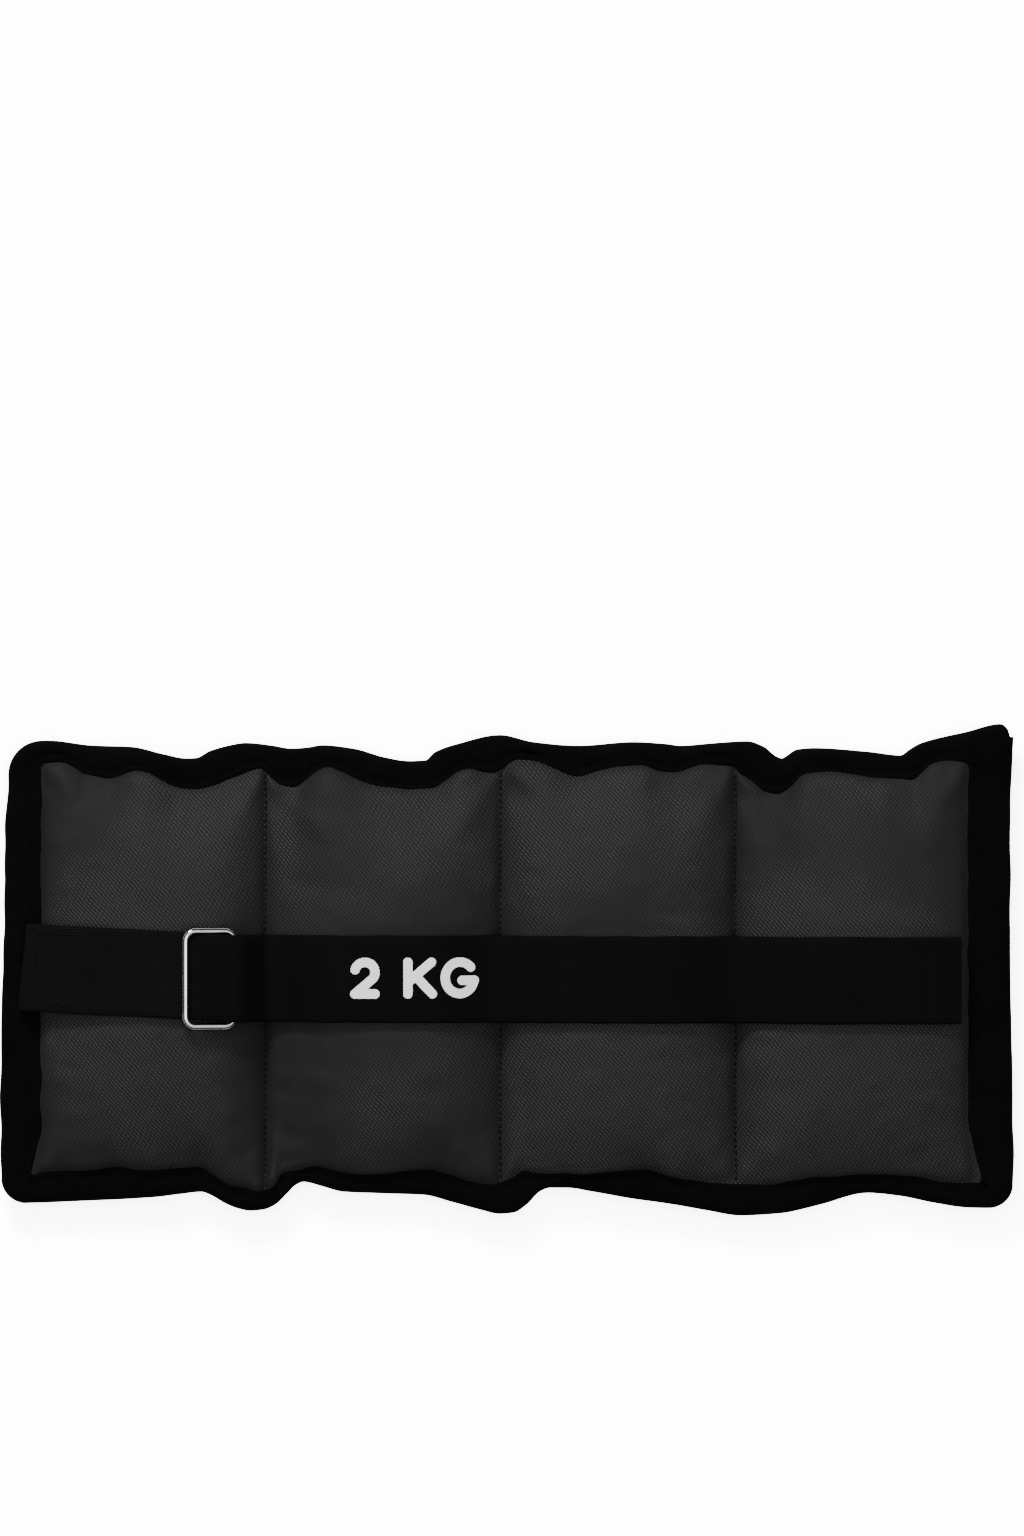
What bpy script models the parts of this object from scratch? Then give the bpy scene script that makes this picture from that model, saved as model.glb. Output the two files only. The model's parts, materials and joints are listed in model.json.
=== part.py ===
"""Ankle cuff weight: four sand-filled pockets in a flat chain, bound edge, webbing strap and wire ring.

The cuff lies flat on its back: X runs along its length, Y across it, Z up from the floor.
Pocket B is the fixed body. Pockets A, C and D fold about their divider seams, the ring swings
about the leg its loop holds, and the strap tail lifts about the ring's other leg.
"""
import math

import bpy
from mathutils import Vector

MM = 0.001

# ---- driving dimensions, millimetres ----
HALF_LENGTH = 177.7
SEAM_AB = -86.0
SEAM_BC = -3.0
SEAM_CD = 80.0
SEAM_Z = 8.2
FRONT_RISE = 16.0
FABRIC = 0.8
PLY_GAP = 0.3
CLEAR = 0.3
SEAM_CUT = 0.15
SEAM_FLAT = 1.3
BACK_CUT = 1.2
BACK_FLAT = 1.6
BACK_RAMP = 13.0
BIND_SIDE = 10.2
BIND_LEFT = 12.5
BIND_RIGHT = 15.0
BIND_THICK = 1.2
BIND_NOSE = 1.4
FOLD_LEAN = 1.15
EDGE_ROOM = 1.2
PILLOW_ROOM = 1.5
CORNER = 12.0
COLUMNS = 10
ROWS = 12
BAG_WALL = 0.5
BAG_GAP = 0.4

STRAP_W = 29.6
STRAP_T = 1.3
STRAP_DIP = 16.0
STRAP_END = 160.0
TAIL_END = -170.0
TAIL_REST = 13.0
HOOK_T = 1.1
HOOK_FROM = -168.5
HOOK_TO = -146.0

WIRE_R = 1.3
LEG_RIGHT = -96.3
LEG_LEFT = -113.9
RING_OUT_Y = 36.0
RING_CORNER = 3.6
RING_Y = -0.9

# Outer edge of the binding, as (x, y) along the top and the bottom side.
EDGE_TOP = [(-177.7, 82.6), (-168.0, 82.4), (-133.0, 79.8), (-110.0, 76.4), (-98.7, 79.8), (-83.0, 79.9),
            (-64.0, 80.5), (-32.0, 74.4), (-18.2, 82.0), (-2.0, 84.2), (28.0, 82.2), (85.6, 82.2),
            (95.8, 76.2), (106.4, 79.8), (140.0, 77.4), (150.2, 81.5), (177.7, 84.5)]
EDGE_BOTTOM = [(-177.7, -79.4), (-168.0, -79.4), (-110.3, -76.4), (-101.0, -81.0), (-91.0, -83.0),
               (-80.3, -80.3), (-71.0, -74.0), (-59.5, -76.6), (-36.5, -79.1), (0.5, -83.1), (11.8, -76.6),
               (23.5, -75.8), (51.0, -80.1), (79.0, -84.5), (104.0, -83.0), (127.3, -77.9),
               (143.1, -79.1), (168.0, -82.8), (177.7, -82.8)]

POCKETS = {
    "a": (-HALF_LENGTH + BIND_LEFT, SEAM_AB),
    "b": (SEAM_AB, SEAM_BC),
    "c": (SEAM_BC, SEAM_CD),
    "d": (SEAM_CD, HALF_LENGTH - BIND_RIGHT),
}


def smooth(points, x):
    """Height of a smooth curve through the points at x."""
    if x <= points[0][0]:
        return points[0][1]
    for (x0, y0), (x1, y1) in zip(points, points[1:]):
        if x <= x1:
            t = (x - x0) / (x1 - x0)
            t = t * t * (3.0 - 2.0 * t)
            return y0 + (y1 - y0) * t
    return points[-1][1]


def edge_top(x):
    return smooth(EDGE_TOP, x)


def edge_bottom(x):
    return smooth(EDGE_BOTTOM, x)


# ---- mesh helpers ----
def add_object(name, verts, faces, pivot, parent):
    mesh = bpy.data.meshes.new(name)
    px, py, pz = pivot
    local = [((x - px) * MM, (y - py) * MM, (z - pz) * MM) for x, y, z in verts]
    mesh.from_pydata(local, [], faces)
    mesh.update()
    obj = bpy.data.objects.new(name, mesh)
    bpy.context.collection.objects.link(obj)
    if parent is not None:
        obj.parent = parent
    return obj


def grid_faces(rows, cols, base, flip):
    faces = []
    for j in range(rows - 1):
        for i in range(cols - 1):
            a = base + j * cols + i
            b = a + 1
            c = b + cols
            d = a + cols
            pair = [(a, b, c), (a, c, d)]
            for tri in pair:
                faces.append(tuple(reversed(tri)) if flip else tri)
    return faces


def border(rows, cols):
    """Indices round the edge of a grid, anticlockwise."""
    loop = [i for i in range(cols)]
    loop += [j * cols + cols - 1 for j in range(1, rows)]
    loop += [(rows - 1) * cols + i for i in range(cols - 2, -1, -1)]
    loop += [j * cols for j in range(rows - 2, 0, -1)]
    return loop


def slab(top, bottom):
    """Closed solid between two grids of the same size; top faces up."""
    rows = len(top)
    cols = len(top[0])
    verts = [p for row in top for p in row] + [p for row in bottom for p in row]
    count = rows * cols
    faces = grid_faces(rows, cols, 0, False) + grid_faces(rows, cols, count, True)
    loop = border(rows, cols)
    for k in range(len(loop)):
        a = loop[k]
        b = loop[(k + 1) % len(loop)]
        faces.append((a, a + count, b + count, b))
    return verts, faces


def cup(outer_top, outer_bottom, inner_top, inner_bottom):
    """Hollow bag between four grids, open along its first row."""
    rows = len(outer_top)
    cols = len(outer_top[0])
    count = rows * cols
    verts = []
    for grid in (outer_top, outer_bottom, inner_top, inner_bottom):
        verts += [p for row in grid for p in row]
    faces = grid_faces(rows, cols, 0, False) + grid_faces(rows, cols, count, True)
    faces += grid_faces(rows, cols, 2 * count, True) + grid_faces(rows, cols, 3 * count, False)
    walls = [j * cols + cols - 1 for j in range(rows)]
    walls += [(rows - 1) * cols + i for i in range(cols - 2, -1, -1)]
    walls += [j * cols for j in range(rows - 2, -1, -1)]
    for a, b in zip(walls, walls[1:]):
        faces.append((a, a + count, b + count, b))
        faces.append((b + 2 * count, b + 3 * count, a + 3 * count, a + 2 * count))
    ring = [i for i in range(cols)] + [count + i for i in range(cols - 1, -1, -1)]
    for k in range(len(ring)):
        a = ring[k]
        b = ring[(k + 1) % len(ring)]
        faces.append((b, a, a + 2 * count, b + 2 * count))
    return verts, faces


def tube(path, radius, sides, turn):
    """Closed tube round a closed path; turn offsets the first side."""
    verts = []
    count = len(path)
    centre = sum((Vector(p) for p in path), Vector()) / count
    for k in range(count):
        here = Vector(path[k])
        tangent = (Vector(path[(k + 1) % count]) - Vector(path[k - 1])).normalized()
        normal = tangent.cross((here - centre).cross(tangent)).normalized()
        side = tangent.cross(normal)
        for s in range(sides):
            angle = 2.0 * math.pi * s / sides + turn
            point = here + radius * (math.cos(angle) * normal + math.sin(angle) * side)
            verts.append(tuple(point))
    faces = []
    for k in range(count):
        for s in range(sides):
            a = k * sides + s
            b = k * sides + (s + 1) % sides
            c = ((k + 1) % count) * sides + (s + 1) % sides
            d = ((k + 1) % count) * sides + s
            faces.append((a, b, c, d))
    return verts, faces


def clean(obj):
    """Point every face out."""
    import bmesh
    bm = bmesh.new()
    bm.from_mesh(obj.data)
    bmesh.ops.recalc_face_normals(bm, faces=bm.faces)
    bm.to_mesh(obj.data)
    bm.free()


# ---- materials ----
def material(name, colour, rough, metal):
    mat = bpy.data.materials.new(name)
    mat.use_nodes = True
    shader = mat.node_tree.nodes["Principled BSDF"]
    shader.inputs["Base Color"].default_value = (colour[0], colour[1], colour[2], 1.0)
    shader.inputs["Roughness"].default_value = rough
    shader.inputs["Metallic"].default_value = metal
    return mat


LOOKS = {
    "fabric": ((0.022, 0.022, 0.022), 0.85, 0.0),
    "binding": ((0.004, 0.004, 0.004), 0.9, 0.0),
    "webbing": ((0.007, 0.007, 0.007), 0.8, 0.0),
    "bag": ((0.30, 0.30, 0.28), 0.6, 0.0),
    "sand": ((0.10, 0.09, 0.08), 0.6, 0.3),
    "thread": ((0.006, 0.006, 0.006), 0.7, 0.0),
    "chrome": ((0.72, 0.73, 0.75), 0.12, 1.0),
    "hook": ((0.01, 0.01, 0.01), 0.7, 0.0),
}

for old in list(bpy.data.objects):
    bpy.data.objects.remove(old, do_unlink=True)


# ---- pocket shapes ----
def pocket_span(letter):
    """Pillow limits in x for the front of a pocket."""
    left, right = POCKETS[letter]
    lead = CLEAR + 0.2 if letter == "a" else SEAM_FLAT
    trail = CLEAR + 0.2 if letter == "d" else SEAM_FLAT
    return left + lead, right - trail


def dome(t):
    t = min(max(t, 0.0), 1.0)
    return (1.0 - abs(2.0 * t - 1.0) ** 2.4) ** 0.7


def ramp(d, length):
    t = min(max(d / length, 0.0), 1.0)
    return math.sin(0.5 * math.pi * t)


def inner_y(x):
    return edge_bottom(x) + BIND_SIDE + PILLOW_ROOM, edge_top(x) - BIND_SIDE - PILLOW_ROOM


def front_z(letter, x, y):
    """Underside of the front fabric."""
    x0, x1 = pocket_span(letter)
    y0, y1 = inner_y(x)
    swell = dome((x - x0) / (x1 - x0)) * (dome((y - y0) / (y1 - y0)) ** 0.8)
    return SEAM_Z + 0.5 * PLY_GAP + FRONT_RISE * swell


def back_z(letter, x, y):
    """Upper side of the back fabric."""
    left, right = POCKETS[letter]
    y0, y1 = inner_y(x)
    near_left = x - left - (CLEAR + 0.2 if letter == "a" else BACK_FLAT)
    near_right = right - x - (CLEAR + 0.2 if letter == "d" else BACK_FLAT)
    along = ramp(min(near_left, near_right), BACK_RAMP)
    across = ramp(min(y - y0, y1 - y), BACK_RAMP + 2.0)
    full = SEAM_Z - 0.5 * PLY_GAP - FABRIC
    return SEAM_Z - 0.5 * PLY_GAP - full * along * across


def corner_limit(x, y, top):
    """Keep the fabric corner inside the rounded end binding."""
    inset = BIND_NOSE + EDGE_ROOM
    radius = CORNER - inset
    if x < 0.0:
        cx = -HALF_LENGTH + CORNER
        over = cx - x
    else:
        cx = HALF_LENGTH - CORNER
        over = x - cx
    if over <= 0.0:
        return y
    rise = math.sqrt(max(radius * radius - over * over, 0.0))
    if top:
        return min(y, edge_top(cx) - CORNER + rise)
    return max(y, edge_bottom(cx) + CORNER - rise)


def pocket_columns(letter, back):
    """X positions of the grid columns, pillow and flanges."""
    left, right = POCKETS[letter]
    x0, x1 = pocket_span(letter)
    cut = BACK_CUT if back else SEAM_CUT
    pillow = []
    for k in range(COLUMNS + 1):
        t = k / COLUMNS
        t = 0.5 - 0.5 * math.cos(math.pi * (0.12 + 0.76 * t))
        pillow.append(t)
    low = pillow[0]
    high = pillow[-1]
    pillow = [x0 + (x1 - x0) * (t - low) / (high - low) for t in pillow]
    if back:
        pillow[0] = x0 if letter == "a" else left + BACK_FLAT
        pillow[-1] = x1 if letter == "d" else right - BACK_FLAT
    inset = BIND_NOSE + EDGE_ROOM
    if letter == "a":
        head = [-HALF_LENGTH + inset, -HALF_LENGTH + inset + 3.0, -HALF_LENGTH + inset + 7.0]
    else:
        head = [left + cut]
    if letter == "d":
        tail = [HALF_LENGTH - inset - 7.0, HALF_LENGTH - inset - 3.0, HALF_LENGTH - inset]
    else:
        tail = [right - cut]
    return head + pillow + tail


def pocket_grid(letter, back):
    """Grid of (x, y, z) on the inner side of one panel."""
    xs = pocket_columns(letter, back)
    inset = BIND_NOSE + EDGE_ROOM
    grid = []
    for j in range(-1, ROWS + 2):
        row = []
        for x in xs:
            y0, y1 = inner_y(x)
            if j < 0:
                y = corner_limit(x, edge_bottom(x) + inset, False)
            elif j > ROWS:
                y = corner_limit(x, edge_top(x) - inset, True)
            else:
                t = j / ROWS
                t = 0.5 - 0.5 * math.cos(math.pi * (0.12 + 0.76 * t))
                t = (t - 0.035112) / 0.929776
                y = y0 + (y1 - y0) * t
                low = corner_limit(x, edge_bottom(x) + inset, False)
                high = corner_limit(x, edge_top(x) - inset, True)
                y = min(max(y, low + 1.0 + 0.2 * j), high - 1.0 - 0.2 * (ROWS - j))
            z = back_z(letter, x, y) if back else front_z(letter, x, y)
            row.append((x, y, z))
        grid.append(row)
    return grid


def lift(grid, dz):
    return [[(x, y, z + dz) for x, y, z in row] for row in grid]


def inner_block(grid, columns, rows, dz):
    """Cut a block of a panel grid and shift it in z."""
    return [[(x, y, z + dz) for x, y, z in row[columns[0]:columns[1]]] for row in grid[rows[0]:rows[1]]]


def inset_block(block, wall):
    """Pull three sides of a block in by the wall, leaving the first row."""
    out = []
    last = len(block) - 1
    for j, row in enumerate(block):
        new = []
        for i, (x, y, z) in enumerate(row):
            if i == 0:
                x += wall
            if i == len(row) - 1:
                x -= wall
            if j == last:
                y -= wall
            new.append((x, y, z))
        out.append(new)
    return out


# ---- joint empties ----
def empty(name, place, parent, parent_place):
    obj = bpy.data.objects.new(name, None)
    bpy.context.collection.objects.link(obj)
    base = parent_place if parent_place else (0.0, 0.0, 0.0)
    obj.parent = parent
    obj.location = tuple((a - b) * MM for a, b in zip(place, base))
    return obj


def surface_at(x):
    """Top of the front fabric along the middle of the cuff."""
    for letter, (left, right) in POCKETS.items():
        if left <= x <= right:
            top = max(front_z(letter, x, y) for y in (-14.0, -6.0, 0.0, 6.0, 12.0))
            return top + FABRIC
    return SEAM_Z + 0.5 * PLY_GAP + FABRIC


def bridge(x, reach):
    """Highest fabric within reach of x."""
    return max(surface_at(x + reach * k / 4.0) for k in range(-4, 5))


def base_under(x):
    """Underside of the sewn strap layer."""
    return max(bridge(x, 3.5) + 0.4, STRAP_DIP)


LEG_RIGHT_Z = bridge(LEG_RIGHT, 3.5) + 0.3 + WIRE_R + CLEAR + STRAP_T
LEG_LEFT_Z = bridge(LEG_LEFT, 5.0) + 0.4 + STRAP_T + CLEAR + WIRE_R

PIVOT_B = (0.0, 0.0, 0.0)
PIVOT_A = (SEAM_AB, 0.0, SEAM_Z)
PIVOT_C = (SEAM_BC, 0.0, SEAM_Z)
PIVOT_D = (SEAM_CD, 0.0, SEAM_Z)
PIVOT_RING = (LEG_RIGHT, RING_Y, LEG_RIGHT_Z)
PIVOT_TAIL = (LEG_LEFT, RING_Y, LEG_LEFT_Z)

hinge_a = empty("pivot_seam_ab", PIVOT_A, None, None)
hinge_c = empty("pivot_seam_bc", PIVOT_C, None, None)
hinge_d = empty("pivot_seam_cd", PIVOT_D, hinge_c, PIVOT_C)
hinge_ring = empty("pivot_ring", PIVOT_RING, hinge_a, PIVOT_A)
hinge_tail = empty("pivot_tail", PIVOT_TAIL, hinge_ring, PIVOT_RING)

HOLD = {
    "a": (PIVOT_A, hinge_a),
    "b": (PIVOT_B, None),
    "c": (PIVOT_C, hinge_c),
    "d": (PIVOT_D, hinge_d),
    "ring": (PIVOT_RING, hinge_ring),
    "tail": (PIVOT_TAIL, hinge_tail),
}


def place(name, solid, hold, look):
    verts, faces = solid
    pivot, parent = HOLD[hold]
    obj = add_object(name, verts, faces, pivot, parent)
    clean(obj)
    colour, rough, metal = LOOKS[look]
    obj.data.materials.append(material("m_" + name, colour, rough, metal))
    return obj


# ---- panels, inner bags and filling ----
for letter in "abcd":
    front = pocket_grid(letter, False)
    back = pocket_grid(letter, True)
    place("front_panel_" + letter, slab(lift(front, FABRIC), front), letter, "fabric")
    place("back_panel_" + letter, slab(back, lift(back, -FABRIC)), letter, "fabric")
    head = 3 if letter == "a" else 1
    columns = (head + 2, head + COLUMNS - 1)
    rows = (3, ROWS)
    top = inner_block(front, columns, rows, -BAG_GAP)
    low = inner_block(back, columns, rows, BAG_GAP)
    inner_top = inset_block(inner_block(front, columns, rows, -BAG_GAP - BAG_WALL), BAG_WALL)
    inner_low = inset_block(inner_block(back, columns, rows, BAG_GAP + BAG_WALL), BAG_WALL)
    place("inner_bag_" + letter, cup(top, low, inner_top, inner_low), letter, "bag")
    columns = (head + 3, head + COLUMNS - 2)
    rows = (4, ROWS - 1)
    fill_top = inner_block(front, columns, rows, -BAG_GAP - BAG_WALL - 1.4)
    fill_low = inner_block(back, columns, rows, BAG_GAP + BAG_WALL + 0.3)
    place("iron_sand_" + letter, slab(fill_top, fill_low), letter, "sand")


# ---- binding tape ----
def fold_section(outer, inner, lean):
    """Skins of the folded tape between an outer and an inner plan point.

    Below the fold axis an end leans away from its seam, so that two ends can close on each other.
    """
    ox, oy = outer
    ix, iy = inner
    width = math.hypot(ix - ox, iy - oy)
    nx = (ix - ox) / width
    ny = (iy - oy) / width
    low = 0.5 * PLY_GAP + FABRIC + CLEAR
    high = low + BIND_THICK
    skin = [(width, high), (0.5 * width, high), (0.11 * width, 0.85 * high), (0.0, 0.0)]
    core = [(width, low), (0.5 * width, low), (BIND_NOSE, low), (BIND_NOSE, 0.0)]
    skin += [(d, -z) for d, z in reversed(skin[:3])]
    core += [(d, -z) for d, z in reversed(core[:3])]
    out = [(ox + nx * d + lean * FOLD_LEAN * max(-z, 0.0), oy + ny * d, SEAM_Z + z) for d, z in skin]
    inn = [(ox + nx * d + lean * FOLD_LEAN * max(-z, 0.0), oy + ny * d, SEAM_Z + z) for d, z in core]
    return out, inn


def tape(pairs, lean_first, lean_last):
    outs = []
    inns = []
    for k, (outer, inner) in enumerate(pairs):
        lean = lean_first if k == 0 else 0.0
        lean = -lean_last if k == len(pairs) - 1 else lean
        out, inn = fold_section(outer, inner, lean)
        outs.append(out)
        inns.append(inn)
    return slab(outs, inns)


SPLIT = 0.15
TAPE_STEPS = 11
for letter in "abcd":
    left, right = POCKETS[letter]
    x0 = left + SPLIT
    x1 = right - SPLIT
    pairs_top = []
    pairs_bottom = []
    for k in range(TAPE_STEPS + 1):
        x = x0 + (x1 - x0) * k / TAPE_STEPS
        pairs_top.append(((x, edge_top(x)), (x, edge_top(x) - BIND_SIDE)))
        pairs_bottom.append(((x, edge_bottom(x)), (x, edge_bottom(x) + BIND_SIDE)))
    first = 0.0 if letter == "a" else 1.0
    last = 0.0 if letter == "d" else 1.0
    place("binding_top_" + letter, tape(pairs_top, first, last), letter, "binding")
    place("binding_bottom_" + letter, tape(pairs_bottom, first, last), letter, "binding")


def end_pairs(sign, width):
    """Plan points round one end of the cuff, top to bottom."""
    edge_x = sign * HALF_LENGTH
    inner_x = sign * (HALF_LENGTH - width)
    start = inner_x + sign * SPLIT
    top = edge_top(inner_x)
    low = edge_bottom(inner_x)
    cx = edge_x - sign * CORNER
    pairs = [((start, top), (start, top - BIND_SIDE))]
    steps = 5
    if sign < 0.0:
        cy = edge_top(cx) - CORNER
        for k in range(steps + 1):
            angle = 0.5 * math.pi * k / steps
            outer = (cx + sign * CORNER * math.sin(angle), cy + CORNER * math.cos(angle))
            inner = (start + sign * 0.12 * (k + 1), top - BIND_SIDE - 0.5 * (k + 1))
            pairs.append((outer, inner))
    else:
        top_y = edge_top(edge_x)
        outers = [(168.5, 86.0), (174.4, 87.9), (177.2, 84.6), (177.6, 79.0), (HALF_LENGTH, 73.0)]
        for k, outer in enumerate(outers):
            inner = (start + 0.12 * (k + 1), min(top, top_y) - BIND_SIDE - 0.7 * (k + 1))
            pairs.append((outer, inner))
    for y in (45.0, 15.0, -15.0, -45.0):
        pairs.append(((edge_x, y), (start + sign * 0.7, y)))
    cy = edge_bottom(cx) + CORNER
    for k in range(steps + 1):
        angle = 0.5 * math.pi * (1.0 - k / steps)
        outer = (cx + sign * CORNER * math.sin(angle), cy - CORNER * math.cos(angle))
        inner = (start + sign * 0.12 * (steps + 1 - k), low + BIND_SIDE + 0.5 * (steps + 1 - k))
        pairs.append((outer, inner))
    pairs.append(((start, low), (start, low + BIND_SIDE)))
    return pairs


place("binding_left", tape(end_pairs(-1.0, BIND_LEFT), 0.0, 0.0), "a", "binding")
place("binding_right", tape(end_pairs(1.0, BIND_RIGHT), 0.0, 0.0), "d", "binding")


# ---- divider seam threads ----
def thread(seam, y_low, y_high):
    top = []
    low = []
    steps = 26
    for k in range(steps + 1):
        y = y_low + (y_high - y_low) * k / steps
        base = SEAM_Z + 0.5 * PLY_GAP + FABRIC + 0.08
        high = base + (0.30 if k % 2 else 0.55)
        top.append([(seam + 0.45, y, high), (seam + 1.0, y, high)])
        low.append([(seam + 0.45, y, base), (seam + 1.0, y, base)])
    return slab(top, low)


place("seam_thread_ab", thread(SEAM_AB, -70.0, 66.0), "b", "thread")
place("seam_thread_bc", thread(SEAM_BC, -70.0, 71.0), "c", "thread")
place("seam_thread_cd", thread(SEAM_CD, -72.0, 70.0), "d", "thread")


# ---- strap layers ----
def strap_y(x):
    """Centre line of the strap across the cuff."""
    if x > LEG_RIGHT:
        return RING_Y - 0.9 * (x - LEG_RIGHT) / (STRAP_END - LEG_RIGHT)
    if x > LEG_LEFT:
        return RING_Y
    return RING_Y + 3.7 * (LEG_LEFT - x) / (LEG_LEFT - TAIL_END)


def band(stations, width, thick):
    """Strip of webbing through (x, z) points of its underside, left to right."""
    top = []
    low = []
    half = 0.5 * width
    count = len(stations)
    lower = []
    upper = []
    for k, (x, z) in enumerate(stations):
        ax, az = stations[max(k - 1, 0)]
        bx, bz = stations[min(k + 1, count - 1)]
        size = math.hypot(bx - ax, bz - az)
        nx = -(bz - az) / size
        nz = (bx - ax) / size
        lower.append((x, z))
        upper.append((x + nx * thick, z + nz * thick))
    for k, (x, z) in enumerate(lower):
        y = strap_y(x)
        ux, uz = upper[k]
        top.append([(ux, y + half, uz), (ux, y - half, uz)])
        low.append([(x, y + half, z), (x, y - half, z)])
    return slab(top, low)


def stations_between(x0, x1, rule):
    count = max(int(round(abs(x1 - x0) / 3.2)), 2)
    return [(x0 + (x1 - x0) * k / count, rule(x0 + (x1 - x0) * k / count)) for k in range(count + 1)]


def free_under(x):
    """Underside of the returned strap layer."""
    return bridge_over(x) + STRAP_T + 0.45


def bridge_over(x):
    return max(base_under(x + 1.2 * k) for k in (-1.0, 0.0, 1.0))


def flat_band(x0, x1, rule, width, thick):
    """Strip whose top is straight above its underside."""
    half = 0.5 * width
    top = []
    low = []
    for x, z in stations_between(x0, x1, rule):
        y = strap_y(x)
        top.append([(x, y + half, z + thick), (x, y - half, z + thick)])
        low.append([(x, y + half, z), (x, y - half, z)])
    return slab(top, low)


for letter in "bcd":
    left, right = POCKETS[letter]
    x0 = left + SPLIT
    x1 = STRAP_END if letter == "d" else right - SPLIT
    place("base_strap_" + letter, flat_band(x0, x1, base_under, STRAP_W, STRAP_T), letter, "webbing")
    place("free_strap_" + letter, flat_band(x0, x1, free_under, STRAP_W - 0.6, STRAP_T), letter, "webbing")


def arc_band(points_out, points_in, width, y_of):
    """Strip from matched outer and inner (x, z) points."""
    half = 0.5 * width
    top = []
    low = []
    for (ox, oz), (ix, iz) in zip(points_out, points_in):
        y = y_of(ox)
        top.append([(ox, y + half, oz), (ox, y - half, oz)])
        low.append([(ix, y + half, iz), (ix, y - half, iz)])
    return slab(top, low)


# Turn of the webbing at the end of pocket D.
base_end = base_under(STRAP_END)
free_end = free_under(STRAP_END)
mid = 0.5 * (base_end + free_end + STRAP_T)
reach = 0.5 * (free_end + STRAP_T - base_end)
gap = 0.5 * (free_end - base_end - STRAP_T)
turn_out = []
turn_in = []
for k in range(9):
    angle = -0.5 * math.pi + math.pi * k / 8
    turn_out.append((STRAP_END + SPLIT + reach * math.cos(angle), mid + reach * math.sin(angle)))
    turn_in.append((STRAP_END + SPLIT + gap * math.cos(angle), mid + gap * math.sin(angle)))
place("strap_end_fold", arc_band(turn_out, turn_in, STRAP_W - 0.6, strap_y), "d", "webbing")

# Sewn layer from seam A-B up and round the ring's right leg, its end tucked beneath.
loop_in_r = WIRE_R + CLEAR
loop_out_r = loop_in_r + STRAP_T
start_x = SEAM_AB - SPLIT
start_z = STRAP_DIP
loop_out = [(start_x, start_z + STRAP_T + 0.2)]
loop_in = [(start_x, start_z)]
for k in range(1, 4):
    t = k / 4.0
    x = start_x + (LEG_RIGHT - start_x) * t
    ease = t * (2.0 - t)
    z = start_z + (LEG_RIGHT_Z + loop_in_r - start_z) * ease
    loop_in.append((x, z))
    loop_out.append((x, z + STRAP_T + 0.1))
for k in range(11):
    angle = 0.5 * math.pi + math.pi * k / 10
    loop_out.append((LEG_RIGHT + loop_out_r * math.cos(angle), LEG_RIGHT_Z + loop_out_r * math.sin(angle)))
    loop_in.append((LEG_RIGHT + loop_in_r * math.cos(angle), LEG_RIGHT_Z + loop_in_r * math.sin(angle)))
for x in (LEG_RIGHT + 1.6, LEG_RIGHT + 3.2, LEG_RIGHT + 4.8):
    t = (x - LEG_RIGHT) / 4.8
    z = LEG_RIGHT_Z - loop_out_r - 2.6 * t * t
    loop_out.append((x, z))
    loop_in.append((x + 0.3 * t, z + STRAP_T))
place("ring_loop", arc_band(loop_out, loop_in, STRAP_W, lambda x: RING_Y), "a", "webbing")


def loop_top(x):
    """Top of the sewn layer between the seam and the ring."""
    t = min(max((start_x - x) / (start_x - LEG_RIGHT), 0.0), 1.0)
    ease = t * (2.0 - t)
    return start_z + (LEG_RIGHT_Z + loop_in_r - start_z) * ease + STRAP_T + 0.2


def short_free(x):
    return loop_top(x) + 0.25


place("free_strap_a", flat_band(LEG_RIGHT + 3.9, SEAM_AB - SPLIT, short_free, STRAP_W - 0.6, STRAP_T),
      "a", "webbing")

# Strap over the right leg and under the left leg.
span = LEG_RIGHT - LEG_LEFT
over = LEG_RIGHT_Z + loop_out_r + CLEAR
under = LEG_LEFT_Z - WIRE_R - CLEAR - STRAP_T


def bridge_rule(x):
    t = min(max((x - LEG_LEFT) / span, 0.0), 1.0)
    t = t * t * (3.0 - 2.0 * t)
    return under + (over - under) * t


place("strap_bridge", flat_band(LEG_LEFT, LEG_RIGHT - 1.5, bridge_rule, STRAP_W - 0.6, STRAP_T), "ring", "webbing")


def tail_rule(x):
    low = max(bridge(x, 3.5) + 0.4, SEAM_Z + 0.5 * PLY_GAP + FABRIC + CLEAR + BIND_THICK + 0.4)
    room = HOOK_T + 0.3 if x < HOOK_TO + 8.0 else 0.0
    near = min(max((HOOK_TO + 8.0 - x) / 8.0, 0.0), 1.0)
    height = low + room * near
    return max(height, TAIL_REST) if x < LEG_LEFT - 4.0 else under


place("strap_tail", flat_band(TAIL_END, LEG_LEFT - 0.4, tail_rule, STRAP_W - 0.6, STRAP_T), "tail", "webbing")


def hook_rule(x):
    return min(tail_rule(x + 1.0), tail_rule(x), tail_rule(x - 1.0)) - HOOK_T - 0.15


place("hook_patch", flat_band(HOOK_FROM, HOOK_TO, hook_rule, STRAP_W - 3.0, HOOK_T), "tail", "hook")


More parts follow.
